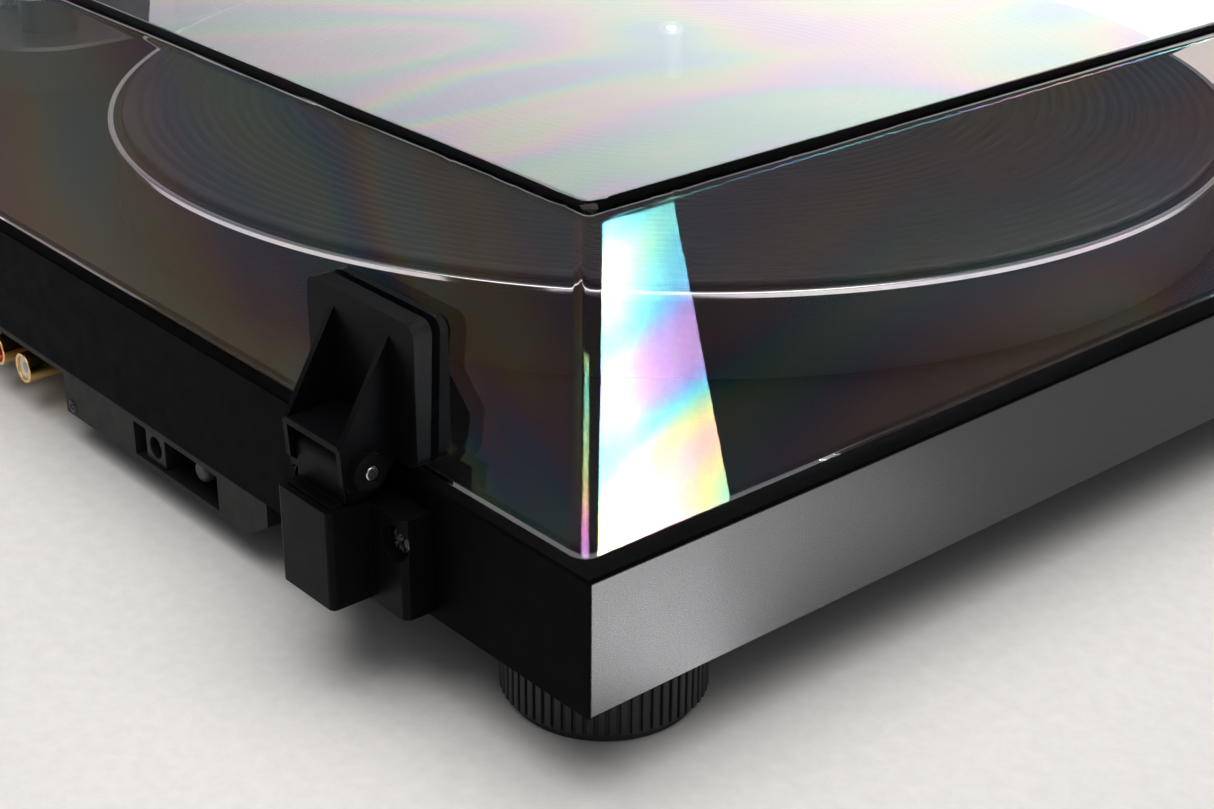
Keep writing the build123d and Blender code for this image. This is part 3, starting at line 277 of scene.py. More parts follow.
@dataclass(frozen=True)
class SparklePaint(Finish):
    """Satin metallic paint: flakes that differ in brightness over a dark silver ground."""

    colour: Point
    roughness: float = 0.42
    flake: float = 5200.0

    def wire(self, s: Shader) -> None:
        """Adds the flakes and a slightly uneven gloss.

        Args:
            s: The shader to wire.
        """
        s.set(Metallic=0.75, Specular_IOR_Level=0.2)
        flakes = s.noise(self.flake, 1.0)
        s.feed("Base Color", s.shades(flakes, ((0.28, tinted(self.colour, 0.5)), (0.5, tuple(self.colour)),
                                              (0.74, tinted(self.colour, 2.2)))))
        s.feed("Roughness", s.span(s.noise(420.0, 4.0), self.roughness * 0.98, self.roughness * 1.03))
        s.bump(flakes, 0.000012)


@dataclass(frozen=True)
class WorkedMetal(Finish):
    """Metal with fine parallel tool lines, or an even polish."""

    colour: Point
    roughness: float = 0.25
    lay: Lay = Lay.EVEN
    depth: float = 0.000008

    def wire(self, s: Shader) -> None:
        """Adds the tool lines to colour, gloss and height.

        Args:
            s: The shader to wire.
        """
        s.set(Metallic=1.0)
        lines = s.noise(26.0, 5.0, self.lay.value, 0.65)
        s.feed("Base Color", s.shades(lines, ((0.25, tinted(self.colour, 0.86)), (0.75, tuple(self.colour)))))
        s.feed("Roughness", s.span(lines, self.roughness * 0.75, self.roughness * 1.3))
        s.bump(lines, self.depth)


@dataclass(frozen=True)
class TurnedMetal(Finish):
    """Metal turned on a lathe: rings about a point on a piece, with a faint sheen that follows them."""

    colour: Point
    centre: Point
    roughness: float = 0.24
    scale: float = 2600.0 / 6.28

    def wire(self, s: Shader) -> None:
        """Adds the rings to colour, gloss and height.

        Args:
            s: The shader to wire.
        """
        s.set(Metallic=1.0)
        mapping = s.node("ShaderNodeMapping", {"Location": self.centre, "Vector": s.place},
                         vector_type="TEXTURE")
        rings = s.node("ShaderNodeTexWave", {
            "Scale": self.scale, "Distortion": 1.4, "Detail": 2.0, "Vector": mapping.outputs[0],
        }, wave_type="RINGS", rings_direction="Z").outputs["Fac"]
        s.feed("Base Color", s.shades(rings, ((0.0, tinted(self.colour, 0.86)), (1.0, tuple(self.colour)))))
        s.feed("Roughness", s.span(rings, self.roughness * 0.8, self.roughness * 1.2, 0.0, 1.0))
        s.bump(rings, 0.000006)


@dataclass(frozen=True)
class Rubber(Finish):
    """Soft rubber: dull, dusty in patches, with a pebbled surface."""

    colour: Point
    roughness: float = 0.7

    def wire(self, s: Shader) -> None:
        """Adds the dust and the pebbles.

        Args:
            s: The shader to wire.
        """
        s.set(Specular_IOR_Level=0.12)
        dust = s.noise(70.0, 6.0, rough=0.6)
        s.feed("Base Color", s.shades(dust, ((0.35, tuple(self.colour)), (0.8, tinted(self.colour, 1.6)))))
        s.feed("Roughness", s.span(dust, self.roughness * 0.92, self.roughness * 1.1))
        s.bump(s.noise(3200.0, 3.0), 0.00003)


@dataclass(frozen=True)
class ClearAcrylic(Finish):
    """Polished clear acrylic: painted rainbow bands in its colour, and slow colour bands from a film whose
    thickness, in nanometres, varies.
    """

    index: float
    film_index: float
    film: tuple[float, float]
    shadow: Point = (0.9, 0.9, 0.9, 1.0)

    def cloud(self, shader: Shader, scale: float, detail: float, distortion: float) -> bpy.types.NodeSocket:
        """Adds a slow, twisted noise.

        Args:
            shader: The shader to add it to.
            scale: Cells per metre.
            detail: Octaves.
            distortion: How far it is twisted.

        Returns:
            The noise's value.
        """
        return shader.node("ShaderNodeTexNoise", {
            "Scale": scale, "Detail": detail, "Distortion": distortion, "Vector": shader.place,
        }).outputs["Fac"]

    def wire(self, s: Shader) -> None:
        """Adds the painted rainbow bands, the film, and a way through for shadow rays.

        Args:
            s: The shader to wire.
        """
        s.set(Transmission_Weight=1.0, IOR=self.index, Roughness=0.0, Thin_Film_IOR=self.film_index)
        # Painted rainbow: pastel bands in the base colour stand in for the rainbow colours that light shows
        # in the clear acrylic.
        s.feed("Base Color", s.shades(self.cloud(s, 7.0, 1.5, 1.2), (
            (0.30, (0.96, 0.92, 0.97)), (0.42, (0.90, 0.97, 0.93)), (0.50, (0.98, 0.95, 0.90)),
            (0.58, (0.97, 0.89, 0.95)), (0.68, (0.91, 0.95, 0.98)))))
        s.feed("Thin Film Thickness", s.span(self.cloud(s, 5.5, 1.0, 2.2), *self.film))
        open_way = s.node("ShaderNodeBsdfTransparent", {0: self.shadow})
        path = s.node("ShaderNodeLightPath")
        mix = s.node("ShaderNodeMixShader", {
            0: path.outputs["Is Shadow Ray"], 1: s.main.outputs[0], 2: open_way.outputs[0]})
        s.join(mix.outputs[0], s.out.inputs[0])


@dataclass(frozen=True)
class BoardFinish(Finish):
    """Green circuit board with paler tracks."""

    def wire(self, s: Shader) -> None:
        """Adds the tracks.

        Args:
            s: The shader to wire.
        """
        brick = s.node("ShaderNodeTexBrick", {
            "Scale": 180.0, "Mortar Size": 0.03, "Color1": (0.01, 0.09, 0.035, 1),
            "Color2": (0.012, 0.11, 0.04, 1), "Mortar": (0.05, 0.2, 0.09, 1), "Vector": s.place})
        s.feed("Base Color", brick.outputs["Color"])
        s.feed("Roughness", s.span(s.noise(200.0), 0.25, 0.4))
        s.bump(brick.outputs["Fac"], 0.00005)


def finishes() -> dict[str, Finish]:
    """The finishes of the record's slots, apart from those turned about a point.

    Returns:
        Each finish under its own name.
    """
    rack = (
        Moulded("plinth_black", (0.0015, 0.0015, 0.0017), 0.5, 2600.0, 0.000003, 0.08, 0.02),
        SparklePaint("panel_metal", (0.042, 0.042, 0.0435)),
        Moulded("tray_black", (0.010, 0.010, 0.010), 0.5, 2200.0, 0.00002, 0.1, 0.15),
        Moulded("hinge_black", (0.0026, 0.0027, 0.0033), 0.4, 2400.0, 0.000002, 0.05, 0.05),
        ClearAcrylic("clear_acrylic", 1.19, 1.148, (330.0, 760.0)),
        ClearAcrylic("clear_acrylic_top", 1.28, 1.25, (520.0, 1250.0)),
        Rubber("bumper_clear", (0.5, 0.5, 0.5), 0.4),
        WorkedMetal("steel", (0.56, 0.56, 0.58), 0.22),
        WorkedMetal("screw_black", (0.05, 0.05, 0.055), 0.3),
        WorkedMetal("screw_zinc", (0.62, 0.62, 0.6), 0.3),
        WorkedMetal("gold", (0.95, 0.63, 0.25), 0.14),
        Moulded("insert_white", (0.8, 0.79, 0.75), 0.3),
        Moulded("insert_red", (0.5, 0.02, 0.02), 0.3),
        Moulded("connector_black", (0.010, 0.010, 0.010), 0.42, gloss=0.2),
        Moulded("switch_grey", (0.05, 0.05, 0.052), 0.35),
        BoardFinish("circuit_board"),
        WorkedMetal("bearing_brass", (0.75, 0.53, 0.24), 0.25),
        WorkedMetal("motor_steel", (0.5, 0.5, 0.5), 0.32, Lay.ALONG_Z),
        Rubber("belt_rubber", (0.02, 0.02, 0.02), 0.55),
        WorkedMetal("pulley_metal", (0.75, 0.75, 0.76), 0.2),
        Moulded("sub_platter_plastic", (0.04, 0.04, 0.04), 0.35),
        Moulded("platter_black", (0.0025, 0.0025, 0.0027), 0.46, 2600.0, 0.000002, 0.06, 0.03),
        Rubber("mat_rubber", (0.004, 0.004, 0.004), 0.62),
        Moulded("foot_black", (0.020, 0.020, 0.020), 0.46, 2000.0, 0.00002, 0.1, 0.3),
        Rubber("foot_rubber", (0.03, 0.03, 0.03)),
        WorkedMetal("arm_metal", (0.60, 0.60, 0.61), 0.26, Lay.ALONG_Y),
        Moulded("arm_black", (0.010, 0.010, 0.011), 0.34, 2600.0, 0.000006, 0.08, 0.25),
        Moulded("cartridge_black", (0.012, 0.012, 0.012), 0.18),
        Moulded("stylus_white", (0.75, 0.75, 0.72), 0.35),
        WorkedMetal("control_metal", (0.45, 0.45, 0.46), 0.26),
        Moulded("mark_white", (0.75, 0.75, 0.75), 0.5),
    )
    return {finish.name: finish for finish in rack}


# ---- Shapes ----
def rounded(points: Sequence[Point], radius: float, steps: int = 3, looped: bool = True) -> list[Point]:
    """Rounds the corners of a section.

    Args:
        points: The section's corners as pairs.
        radius: The rounding, cut down where a side is short.
        steps: Straight pieces in each round.
        looped: Whether the last corner joins the first.

    Returns:
        The section with an arc at each corner.
    """
    flat = [Vector((p[0], p[1])) for p in points]
    made: list[Point] = []
    for index, corner in enumerate(flat):
        if not looped and index in (0, len(flat) - 1):
            made.append(tuple(corner))
            continue
        before, after = flat[index - 1], flat[(index + 1) % len(flat)]
        sides = [(end - corner).length for end in (before, after)]
        reach = min(radius, *(SIDE_SHARE * side for side in sides))
        start, end = (corner.lerp(way, reach / side) for way, side in zip((before, after), sides))
        for step in range(steps + 1):
            share = step / steps
            made.append(tuple(start.lerp(corner, share).lerp(corner.lerp(end, share), share)))
    return made


def facing(centre: Point, towards: Point = (0.0, 0.0, 1.0)) -> Matrix:
    """A place whose Z points a given way.

    Args:
        centre: Where it is, in metres.
        towards: Where its Z points.

    Returns:
        The place as a matrix.
    """
    turn = Vector((0, 0, 1)).rotation_difference(Vector(towards).normalized())
    return Matrix.Translation(Vector(centre)) @ turn.to_matrix().to_4x4()


def turned(name: str, section: Sequence[Point], place: Matrix, segments: int = 96,
           looped: bool = True) -> bpy.types.Object:
    """Turns a section about an axis.

    Args:
        name: The new object's name.
        section: Pairs of radius and height, in metres.
        place: Where the axis stands.
        segments: Flats round the axis.
        looped: Whether the section closes on itself; an open one starts and ends on the axis.

    Returns:
        The turned object.
    """
    mesh = bmesh.new()
    rings: list[list[bmesh.types.BMVert]] = []
    for radius, height in section:
        count = 1 if radius < 1e-7 else segments
        rings.append([mesh.verts.new((radius * math.cos(FULL_TURN * k / segments),
                                      radius * math.sin(FULL_TURN * k / segments), height))
                      for k in range(count)])
    pairs = list(zip(rings, rings[1:] + rings[:1])) if looped else list(zip(rings, rings[1:]))
    for low, high in pairs:
        for k in range(segments):
            corners = [low[k % len(low)], low[(k + 1) % len(low)],
                       high[(k + 1) % len(high)], high[k % len(high)]]
            unique = list(dict.fromkeys(corners))
            if len(unique) > 2:
                mesh.faces.new(unique)
    bmesh.ops.recalc_face_normals(mesh, faces=mesh.faces)
    mesh.transform(place)
    return as_object(name, mesh)


def as_object(name: str, mesh: bmesh.types.BMesh) -> bpy.types.Object:
    """Turns a bmesh into an object with smooth faces.

    Args:
        name: The new object's name.
        mesh: The bmesh, which is freed.

    Returns:
        The object, linked to the scene.
    """
    data = bpy.data.meshes.new(name)
    mesh.to_mesh(data)
    mesh.free()
    data.shade_smooth()
    made = bpy.data.objects.new(name, data)
    bpy.context.scene.collection.objects.link(made)
    return made


def block(name: str, size: Point, place: Matrix) -> bpy.types.Object:
    """A box about a place.

    Args:
        name: The new object's name.
        size: Its three sizes, in metres.
        place: Its middle and turn.

    Returns:
        The box.
    """
    mesh = bmesh.new()
    bmesh.ops.create_cube(mesh, size=1.0)
    mesh.transform(place @ Matrix.Diagonal((*size, 1.0)))
    return as_object(name, mesh)


def settled(made: bpy.types.Object) -> bpy.types.Object:
    """Applies an object's modifiers for good.

    Args:
        made: The object.

    Returns:
        The same object with a plain mesh.
    """
    graph = bpy.context.evaluated_depsgraph_get()
    final = bpy.data.meshes.new_from_object(made.evaluated_get(graph))
    made.modifiers.clear()
    made.data = final
    return made


def eased(made: bpy.types.Object, width: float, segments: int = 3, angle: float = 32.0) -> bpy.types.Object:
    """Rounds an object's sharp edges and keeps its flats flat.

    Args:
        made: The object.
        width: The rounding, in metres.
        segments: Strips in each round.
        angle: Edges sharper than this many degrees are rounded.

    Returns:
        The same object with a plain mesh.
    """
    if width > 0:
        edge = made.modifiers.new("edge", "BEVEL")
        edge.width = width
        edge.segments = segments
        edge.limit_method = "ANGLE"
        edge.angle_limit = math.radians(angle)
        edge.use_clamp_overlap = True
    shade = made.modifiers.new("shade", "WEIGHTED_NORMAL")
    shade.weight = 80
    return settled(made)


def carved(made: bpy.types.Object, cutter: bpy.types.Object) -> bpy.types.Object:
    """Cuts one object out of another.

    Args:
        made: The object that is cut.
        cutter: The shape to cut away, which is deleted.

    Returns:
        The cut object.
    """
    cut = made.modifiers.new("cut", "BOOLEAN")
    cut.operation = "DIFFERENCE"
    cut.solver = "EXACT"
    cut.object = cutter
    settled(made)
    bpy.data.objects.remove(cutter)
    return made


def joined(name: str, parts: Iterable[bpy.types.Object]) -> bpy.types.Object:
    """Joins plain meshes into one object.

    Args:
        name: The new object's name.
        parts: The objects, which are deleted.

    Returns:
        The joined object.
    """
    mesh = bmesh.new()
    for part in list(parts):
        mesh.from_mesh(part.data)
        bpy.data.objects.remove(part)
    return as_object(name, mesh)


class Spread(Wiring):
    """Geometry Nodes trees that repeat one part round a circle or over a set of places."""

    def __init__(self, name: str, part: bpy.types.Object, material: bpy.types.Material) -> None:
        """Keeps what is repeated.

        Args:
            name: The finished piece's name.
            part: The repeated part, modelled at the origin.
            material: The finish of the piece.
        """
        self.name, self.part, self.material = name, part, material
        self.tree = bpy.data.node_groups.new(name, "GeometryNodeTree")
        self.values: dict[str, object] = {}
        self.tree.interface.new_socket("Geometry", in_out="INPUT", socket_type="NodeSocketGeometry")
        self.tree.interface.new_socket("Geometry", in_out="OUTPUT", socket_type="NodeSocketGeometry")

    def option(self, name: str, kind: str, value: object) -> None:
        """Adds a named input and the value it gets."""
        socket = self.tree.interface.new_socket(name, in_out="INPUT", socket_type=kind)
        self.values[socket.identifier] = value

    def grow(self, host: bpy.types.Object, instances: bpy.types.NodeSocket) -> bpy.types.Object:
        """Ends the tree, gives the host its modifier and makes the result a plain mesh.

        Args:
            host: The object that carries the points.
            instances: The instances' socket.

        Returns:
            The finished piece.
        """
        real = self.node("GeometryNodeRealizeInstances", {0: instances})
        paint = self.node("GeometryNodeSetMaterial", {0: real.outputs[0], "Material": self.material})
        self.node("NodeGroupOutput", {0: paint.outputs[0]})
        modifier = host.modifiers.new("spread", "NODES")
        modifier.node_group = self.tree
        for identifier, value in self.values.items():
            modifier[identifier] = value
        settled(host)
        bpy.data.objects.remove(self.part)
        return host

    def round_axis(self, count: int, radius: float, place: Matrix) -> bpy.types.Object:
        """Repeats the part round an axis, its X pointing outwards.

        Args:
            count: How many.
            radius: The circle's radius, in metres.
            place: Where the axis stands.

        Returns:
            The finished piece.
        """
        self.option("Part", "NodeSocketObject", self.part)
        self.option("Count", "NodeSocketInt", count)
        self.option("Radius", "NodeSocketFloat", radius)
        given = self.node("NodeGroupInput").outputs
        circle = self.node("GeometryNodeMeshCircle", {"Vertices": given["Count"], "Radius": given["Radius"]})
        part = self.node("GeometryNodeObjectInfo", {"Object": given["Part"]})
        number = self.node("GeometryNodeInputIndex")
        step = self.node("ShaderNodeMath", {0: FULL_TURN, 1: given["Count"]}, operation="DIVIDE")
        angle = self.node("ShaderNodeMath", {0: number.outputs[0], 1: step.outputs[0]}, operation="MULTIPLY")
        turn = self.node("ShaderNodeCombineXYZ", {"Z": angle.outputs[0]})
        put = self.node("GeometryNodeInstanceOnPoints", {
            "Points": circle.outputs[0], "Instance": part.outputs["Geometry"], "Rotation": turn.outputs[0]})
        host = bpy.data.objects.new(self.name, bpy.data.meshes.new(self.name))
        bpy.context.scene.collection.objects.link(host)
        made = self.grow(host, put.outputs[0])
        made.data.transform(place)
        return made

    def at_places(self, places: Sequence[Point], facing_turn: Point, seed: int) -> bpy.types.Object:
        """Repeats the part at places, each turned about its own axis by chance.

        Args:
            places: Where, in metres.
            facing_turn: Turns about X, Y and Z that point the part the right way.
            seed: The chance's seed.

        Returns:
            The finished piece.
        """
        self.option("Part", "NodeSocketObject", self.part)
        self.option("Facing", "NodeSocketVector", tuple(facing_turn))
        self.option("Seed", "NodeSocketInt", seed)
        given = self.node("NodeGroupInput").outputs
        part = self.node("GeometryNodeObjectInfo", {"Object": given["Part"]})
        put = self.node("GeometryNodeInstanceOnPoints", {
            "Points": given["Geometry"], "Instance": part.outputs["Geometry"], "Rotation": given["Facing"]})
        chance = self.node("FunctionNodeRandomValue", {"Max": FULL_TURN / 4, "Seed": given["Seed"]},
                           data_type="FLOAT")
        twist = self.node("ShaderNodeCombineXYZ", {"Z": chance.outputs["Value"]})
        rotate = self.node("GeometryNodeRotateInstances", {
            "Instances": put.outputs[0], "Rotation": twist.outputs[0]})
        host = bpy.data.objects.new(self.name, bpy.data.meshes.new(self.name))
        host.data.from_pydata([tuple(place) for place in places], [], [])
        bpy.context.scene.collection.objects.link(host)
        return self.grow(host, rotate.outputs[0])


# ---- The frame's nodes and how pieces join them ----
class Workshop:
    """The loaded frame, with its record and the finishes."""

    def __init__(self, frame: dict) -> None:
        """Reads which body and slot each node has.
        """
        record = frame["record"]
        self.nodes = frame["nodes"]
        bodies = record["behaviour"]["bodies"]
        self.body_of = {node: body for body, nodes in bodies.items() for node in nodes}
        self.slot_of = {part["node"]: part["material_slot"] for part in record["subparts"]}
        self.finishes = finishes()
        self.materials: dict[str, bpy.types.Material] = {}
        self.left = set(self.nodes)

    def finish(self, slot: str) -> bpy.types.Material:
        """The material of a slot, made once.

        Args:
            slot: The slot's name.

        Returns:
            The material.
        """
        if slot not in self.materials:
            self.materials[slot] = self.finishes[slot].build()
        return self.materials[slot]

    def dress(self, node: str, material: bpy.types.Material | None = None) -> None:
        """Keeps a CAD node and gives it its finish.

        Args:
            node: The node's name.
            material: A finish other than its slot's.
        """
        chosen = material or self.finish(self.slot_of[node])
        piece = self.nodes[node]
        if not piece.material_slots:
            piece.data.materials.append(chosen)
        for place in piece.material_slots:
            place.material = chosen
        self.left.discard(node)
        LOG.info("dressed %s", node)

    def mount(self, made: bpy.types.Object, body: str, slot: str, *nodes: str,
              material: bpy.types.Material | None = None) -> bpy.types.Object:
        """Paints a piece and makes it ride on a body in place of some nodes.

        Args:
            made: The piece.
            body: The body it moves with.
            slot: The record's slot it takes its finish from.
            nodes: The CAD nodes it stands for.
            material: A finish other than the slot's.

        Returns:
            The piece.
        """
        made.data.materials.clear()
        made.data.materials.append(material or self.finish(slot))
        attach(made, str(body))
        if nodes:
            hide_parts(*nodes)
            self.left.difference_update(nodes)
        LOG.info("%s: %d faces on %s", made.name, len(made.data.polygons), body)
        return made

    def copy_of(self, node: str) -> bpy.types.Object:
        """A merged copy of a node's mesh.

        Args:
            node: The node's name.

        Returns:
            The copy, not yet riding on anything.
        """
        mesh = bmesh.new()
        mesh.from_mesh(self.nodes[node].data)
        bmesh.ops.remove_doubles(mesh, verts=mesh.verts, dist=MERGE_GAP)
        bmesh.ops.dissolve_limit(mesh, angle_limit=FLAT_ANGLE, verts=mesh.verts, edges=mesh.edges)
        return as_object(f"soft_{node}", mesh)

    def soften(self, node: str, width: float, segments: int = 3, angle: float = 32.0,
               material: bpy.types.Material | None = None) -> bpy.types.Object:
        """Stands a copy with rounded edges in for a node.

        Args:
            node: The node's name.
            width: The rounding, in metres.
            segments: Strips in each round.
            angle: Edges sharper than this many degrees are rounded.
            material: A finish other than its slot's.

        Returns:
            The new piece.
        """
        made = eased(self.copy_of(node), width, segments, angle)
        return self.mount(made, self.body_of[node], self.slot_of[node], node, material=material)


def middle(node: str) -> Vector:
    """The middle of a node's box."""
    low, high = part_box(node)
    return (low + high) / 2


# ---- Plinth ----
@dataclass
class CrossScrew:
    """A round-headed screw with a cross recess, its head's top at the origin and its shank downwards."""

    head: float
    height: float
    shank: float
    length: float
    dome: float = 0.0003
    arm: float = 0.0007

    def build(self) -> bpy.types.Object:
        """Makes the screw.

        Returns:
            The screw at the origin.
        """
        outline = ((0.0, 0.0), (self.head * 0.55, -self.dome * 0.3), (self.head * 0.9, -self.dome),
                   (self.head, -self.dome * 2.4), (self.head, -self.height), (self.shank, -self.height),
                   (self.shank, -self.length), (0.0, -self.length))
        screw = turned("screw", outline, HERE, 28, looped=False)
        reach = self.head * 1.15
        for size in ((reach, self.arm, self.height), (self.arm, reach, self.height)):
            carved(screw, block("slot", size, HERE))
        return screw


@dataclass
class Plinth:
    """The black board, its metallic trim, the lower tray and what is inside."""

    shop: Workshop
    edge: float = 0.35 * MM
    tray_head: float = 3.0 * MM
    tray_head_height: float = 2.0 * MM
    shank: float = 1.6 * MM
    row_gap: int = 8
    hub: float = 0.3 * MM
    small_head: float = 1.9 * MM
    small_head_height: float = 0.9 * MM
    small_shank: float = 0.8 * MM
    small_length: float = 3.0 * MM
    small_proud: float = 0.5 * MM
    tray_back: tuple[Point, ...] = ((-12.5 * MM, 2.6 * MM), (60.0 * MM, 5.0 * MM))
    board_back: Point = (116.0 * MM, 4.0 * MM)

    def trim(self) -> None:
        """Dresses the board and stands eased panels in for the trim."""
        self.shop.dress("plinth_body")
        for side in ("left", "right", "front"):
            self.shop.soften(f"{side}_panel", self.edge, 2)
        self.shop.dress("foot_inserts")

    def tray(self) -> None:
        """Dresses the tray and sets its screws."""
        shop = self.shop
        shop.dress("bottom_tray")
        shop.dress("main_board")
        low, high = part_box("tray_screws")
        rows = sorted({round(v.co.y / MM) for v in shop.nodes["tray_screws"].data.vertices
                       if abs(v.co.x - (low.x + self.tray_head)) < self.hub})
        ys = self.row_middles(rows)
        places = [(x, y, low.z) for x in (low.x + self.tray_head, high.x - self.tray_head) for y in ys]
        screw = CrossScrew(self.tray_head, self.tray_head_height, self.shank, high.z - low.z).build()
        made = Spread("tray_screw_set", screw, shop.finish("screw_zinc")).at_places(
            places, (math.pi, 0.0, 0.0), 3)
        shop.mount(made, Body.PLINTH.value, "screw_zinc", "tray_screws")

    def row_middles(self, rows: Sequence[int]) -> list[float]:
        """Groups close numbers and gives each group's middle, in metres.

        Args:
            rows: Sorted places in millimetres.

        Returns:
            One place for each group.
        """
        groups: list[list[int]] = [[rows[0]]]
        for row in rows[1:]:
            if row - groups[-1][-1] > self.row_gap:
                groups.append([])
            groups[-1].append(row)
        return [MM * (group[0] + group[-1]) / 2 for group in groups]

    def back_screws(self) -> None:
        """Adds the small screws that hold the tray's back and the lower edge of the board."""
        low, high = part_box("bottom_tray")
        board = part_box("plinth_body")[0]
        places = [(x, high.y, low.z + rise) for x, rise in self.tray_back]
        aside, rise = self.board_back
        places += [(side * aside, high.y, board.z + rise) for side in (-1, 1)]
        screw = CrossScrew(self.small_head, self.small_head_height, self.small_shank, self.small_length,
                           dome=0.25 * MM, arm=0.45 * MM).build()
        screw.data.transform(Matrix.Translation((0, 0, self.small_proud)))
        made = Spread("back_screw_set", screw, self.shop.finish("screw_black")).at_places(
            places, (-math.pi / 2, 0.0, 0.0), 11)
        self.shop.mount(made, Body.PLINTH.value, "screw_black")

    def build(self) -> None:
        """Builds the plinth."""
        self.trim()
        self.tray()
        self.back_screws()


@dataclass
class Connectors:
    """The jacks, earth post and switches in the back of the tray."""

    shop: Workshop
    edge: float = 0.25 * MM
    bore: float = 2.05 * MM
    knurl_depth: float = 0.35 * MM
    ridges: int = 30
    ridge: Point = (0.8 * MM, 0.34 * MM)

    def build(self) -> None:
        """Dresses the connectors and eases the ones that show."""
        for node in ("rca_shells", "dc_jack", "power_button"):
            self.shop.soften(node, self.edge, 2)
        for node in ("rca_insert_white", "rca_insert_red", "ground_post", "line_switch",
                     "line_slider", "power_switch"):
            self.shop.dress(node)
        self.nut()

    def nut(self) -> None:
        """Makes the earth post's knurled thumb nut."""
        low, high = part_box("ground_nut")
        radius, length = (high.x - low.x) / 2, high.y - low.y
        place = facing((middle("ground_nut").x, low.y, middle("ground_nut").z), (0, 1, 0))
        bore, root = self.bore, radius - self.knurl_depth
        section = rounded(((bore, 0), (root, 0), (root, length), (bore, length)), 0.4 * MM)
        core = turned("nut_core", section, place, 48)
        ridge = eased(block("ridge", (*self.ridge, length - 2 * self.knurl_depth),
                            Matrix.Translation((-self.ridge[0] / 2, 0, length / 2))), 0.1 * MM, 1)
        ridges = Spread("nut_ridges", ridge, self.shop.finish("gold")).round_axis(self.ridges, radius, place)
        self.shop.mount(joined("thumb_nut", (core, ridges)), Body.NUT.value, "gold", "ground_nut")


# ---- Feet ----
@dataclass
class Foot:
    """A levelling foot: a smooth collar, a grip with upright ribs under it, and a stud above."""

    shop: Workshop
    corner: str
    ribs: int = 60
    rib_width: float = 1.5 * MM
    groove: float = 0.8 * MM
    collar_height: float = 5.1 * MM
    collar_extra: float = 0.4 * MM
    pad_seat: float = 20.4 * MM
    seat_depth: float = 1.4 * MM
    stud: float = 4.0 * MM
    clearance: float = 0.4 * MM
    lead: Point = (0.3 * MM, 0.8 * MM)
    rib_lead: float = 0.9 * MM
    rib_overlap: float = 0.2 * MM

    def build(self) -> None:
        """Makes the turned body, its ribs and the pad's finish."""
        node = f"{self.corner}_foot"
        low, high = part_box(node)
        centre = middle(node)
        place = facing((centre.x, centre.y, low.z))
        wide = (high.x - low.x) / 2
        grip = wide - self.collar_extra
        stud_top = high.z - low.z
        top = self.ring_top() - low.z
        shoulder = top - self.collar_height
        core = grip - self.groove
        outline = ((0, self.seat_depth), (self.pad_seat, self.seat_depth), (self.pad_seat, 0),
                   (core - self.lead[0], 0), (core, self.lead[1]), (core, shoulder), (wide, shoulder),
                   (wide, top), (self.stud, top), (self.stud, stud_top), (0, stud_top))
        section = rounded(outline, 0.5 * MM, looped=False)
        body = turned(f"{self.corner}_foot_core", section, place, 2 * self.ribs, looped=False)
        height = shoulder + self.rib_overlap
        rib = block("rib", (2.0 * self.groove, self.rib_width, height),
                    Matrix.Translation((-self.groove, 0, height / 2)))
        for corner in rib.data.vertices:
            if corner.co.z < height / 2 and corner.co.x > -self.groove:
                corner.co.z += self.rib_lead
        eased(rib, 0.25 * MM, 2)
        ribs = Spread(f"{self.corner}_ribs", rib, self.shop.finish("foot_black")).round_axis(
            self.ribs, grip, place)
        made = joined(f"{self.corner}_ribbed_foot", (body, ribs))
        made.data.validate()
        eased(made, 0.0)
        self.shop.mount(made, self.shop.body_of[node], "foot_black", node)
        self.shop.soften(f"{self.corner}_foot_pad", 0.5 * MM)

    def ring_top(self) -> float:
        """The height of the collar's top, just under the plinth."""
        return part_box("plinth_body")[0].z - self.clearance


# ---- Hinges and cover ----
@dataclass
class Hinges:
    """The two hinges: sockets on the plinth, blocks that drop into them, leaves on the cover."""

    shop: Workshop
    socket_edge: float = 0.55 * MM
    block_edge: float = 0.35 * MM
    leaf_edge: float = 0.45 * MM
    pin_edge: float = 0.3 * MM
    head: float = 3.4 * MM
    head_height: float = 2.4 * MM
    shank: float = 1.6 * MM

    def build(self) -> None:
        """Softens the moulded parts and sets pins and screws."""
        shop = self.shop
        for side in ("left", "right"):
            shop.soften(f"{side}_hinge_socket", self.socket_edge)
            shop.soften(f"{side}_hinge_block", self.block_edge)
            shop.soften(f"{side}_hinge_leaf", self.leaf_edge)
        shop.soften("hinge_pins", self.pin_edge)
        low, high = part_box("socket_screws")
        level = middle("socket_screws").z
        places = []
        for side in ("left", "right"):
            centre = middle(f"{side}_hinge_socket").x
            span = abs(abs(low.x + self.head) - abs(middle("left_hinge_socket").x))
            places += [(centre - span, high.y, level), (centre + span, high.y, level)]
        screw = CrossScrew(self.head, self.head_height, self.shank, high.y - low.y,
                           dome=0.5 * MM, arm=1.0 * MM).build()
        made = Spread("socket_screw_set", screw, shop.finish("screw_black")).at_places(
            places, (-math.pi / 2, 0.0, 0.0), 5)
        shop.mount(made, Body.PLINTH.value, "screw_black", "socket_screws")


@dataclass
class DustCover:
    """The clear cover and the pads it rests on."""

    shop: Workshop
    edge: float = 0.45 * MM
    top_thickness: float = 3.5 * MM
    level: float = 0.7

    def build(self) -> None:
        """Stands a polished copy in for the cover, its top in a finish of its own."""
        cover = self.shop.soften("dust_cover", self.edge, 3, 40.0)
        cover.data.materials.append(self.shop.finish("clear_acrylic_top"))
        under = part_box("dust_cover")[1].z - self.top_thickness
        for face in cover.data.polygons:
            if face.center.z > under and abs(face.normal.z) > self.level:
                face.material_index = 1
        self.shop.dress("cover_bumpers")


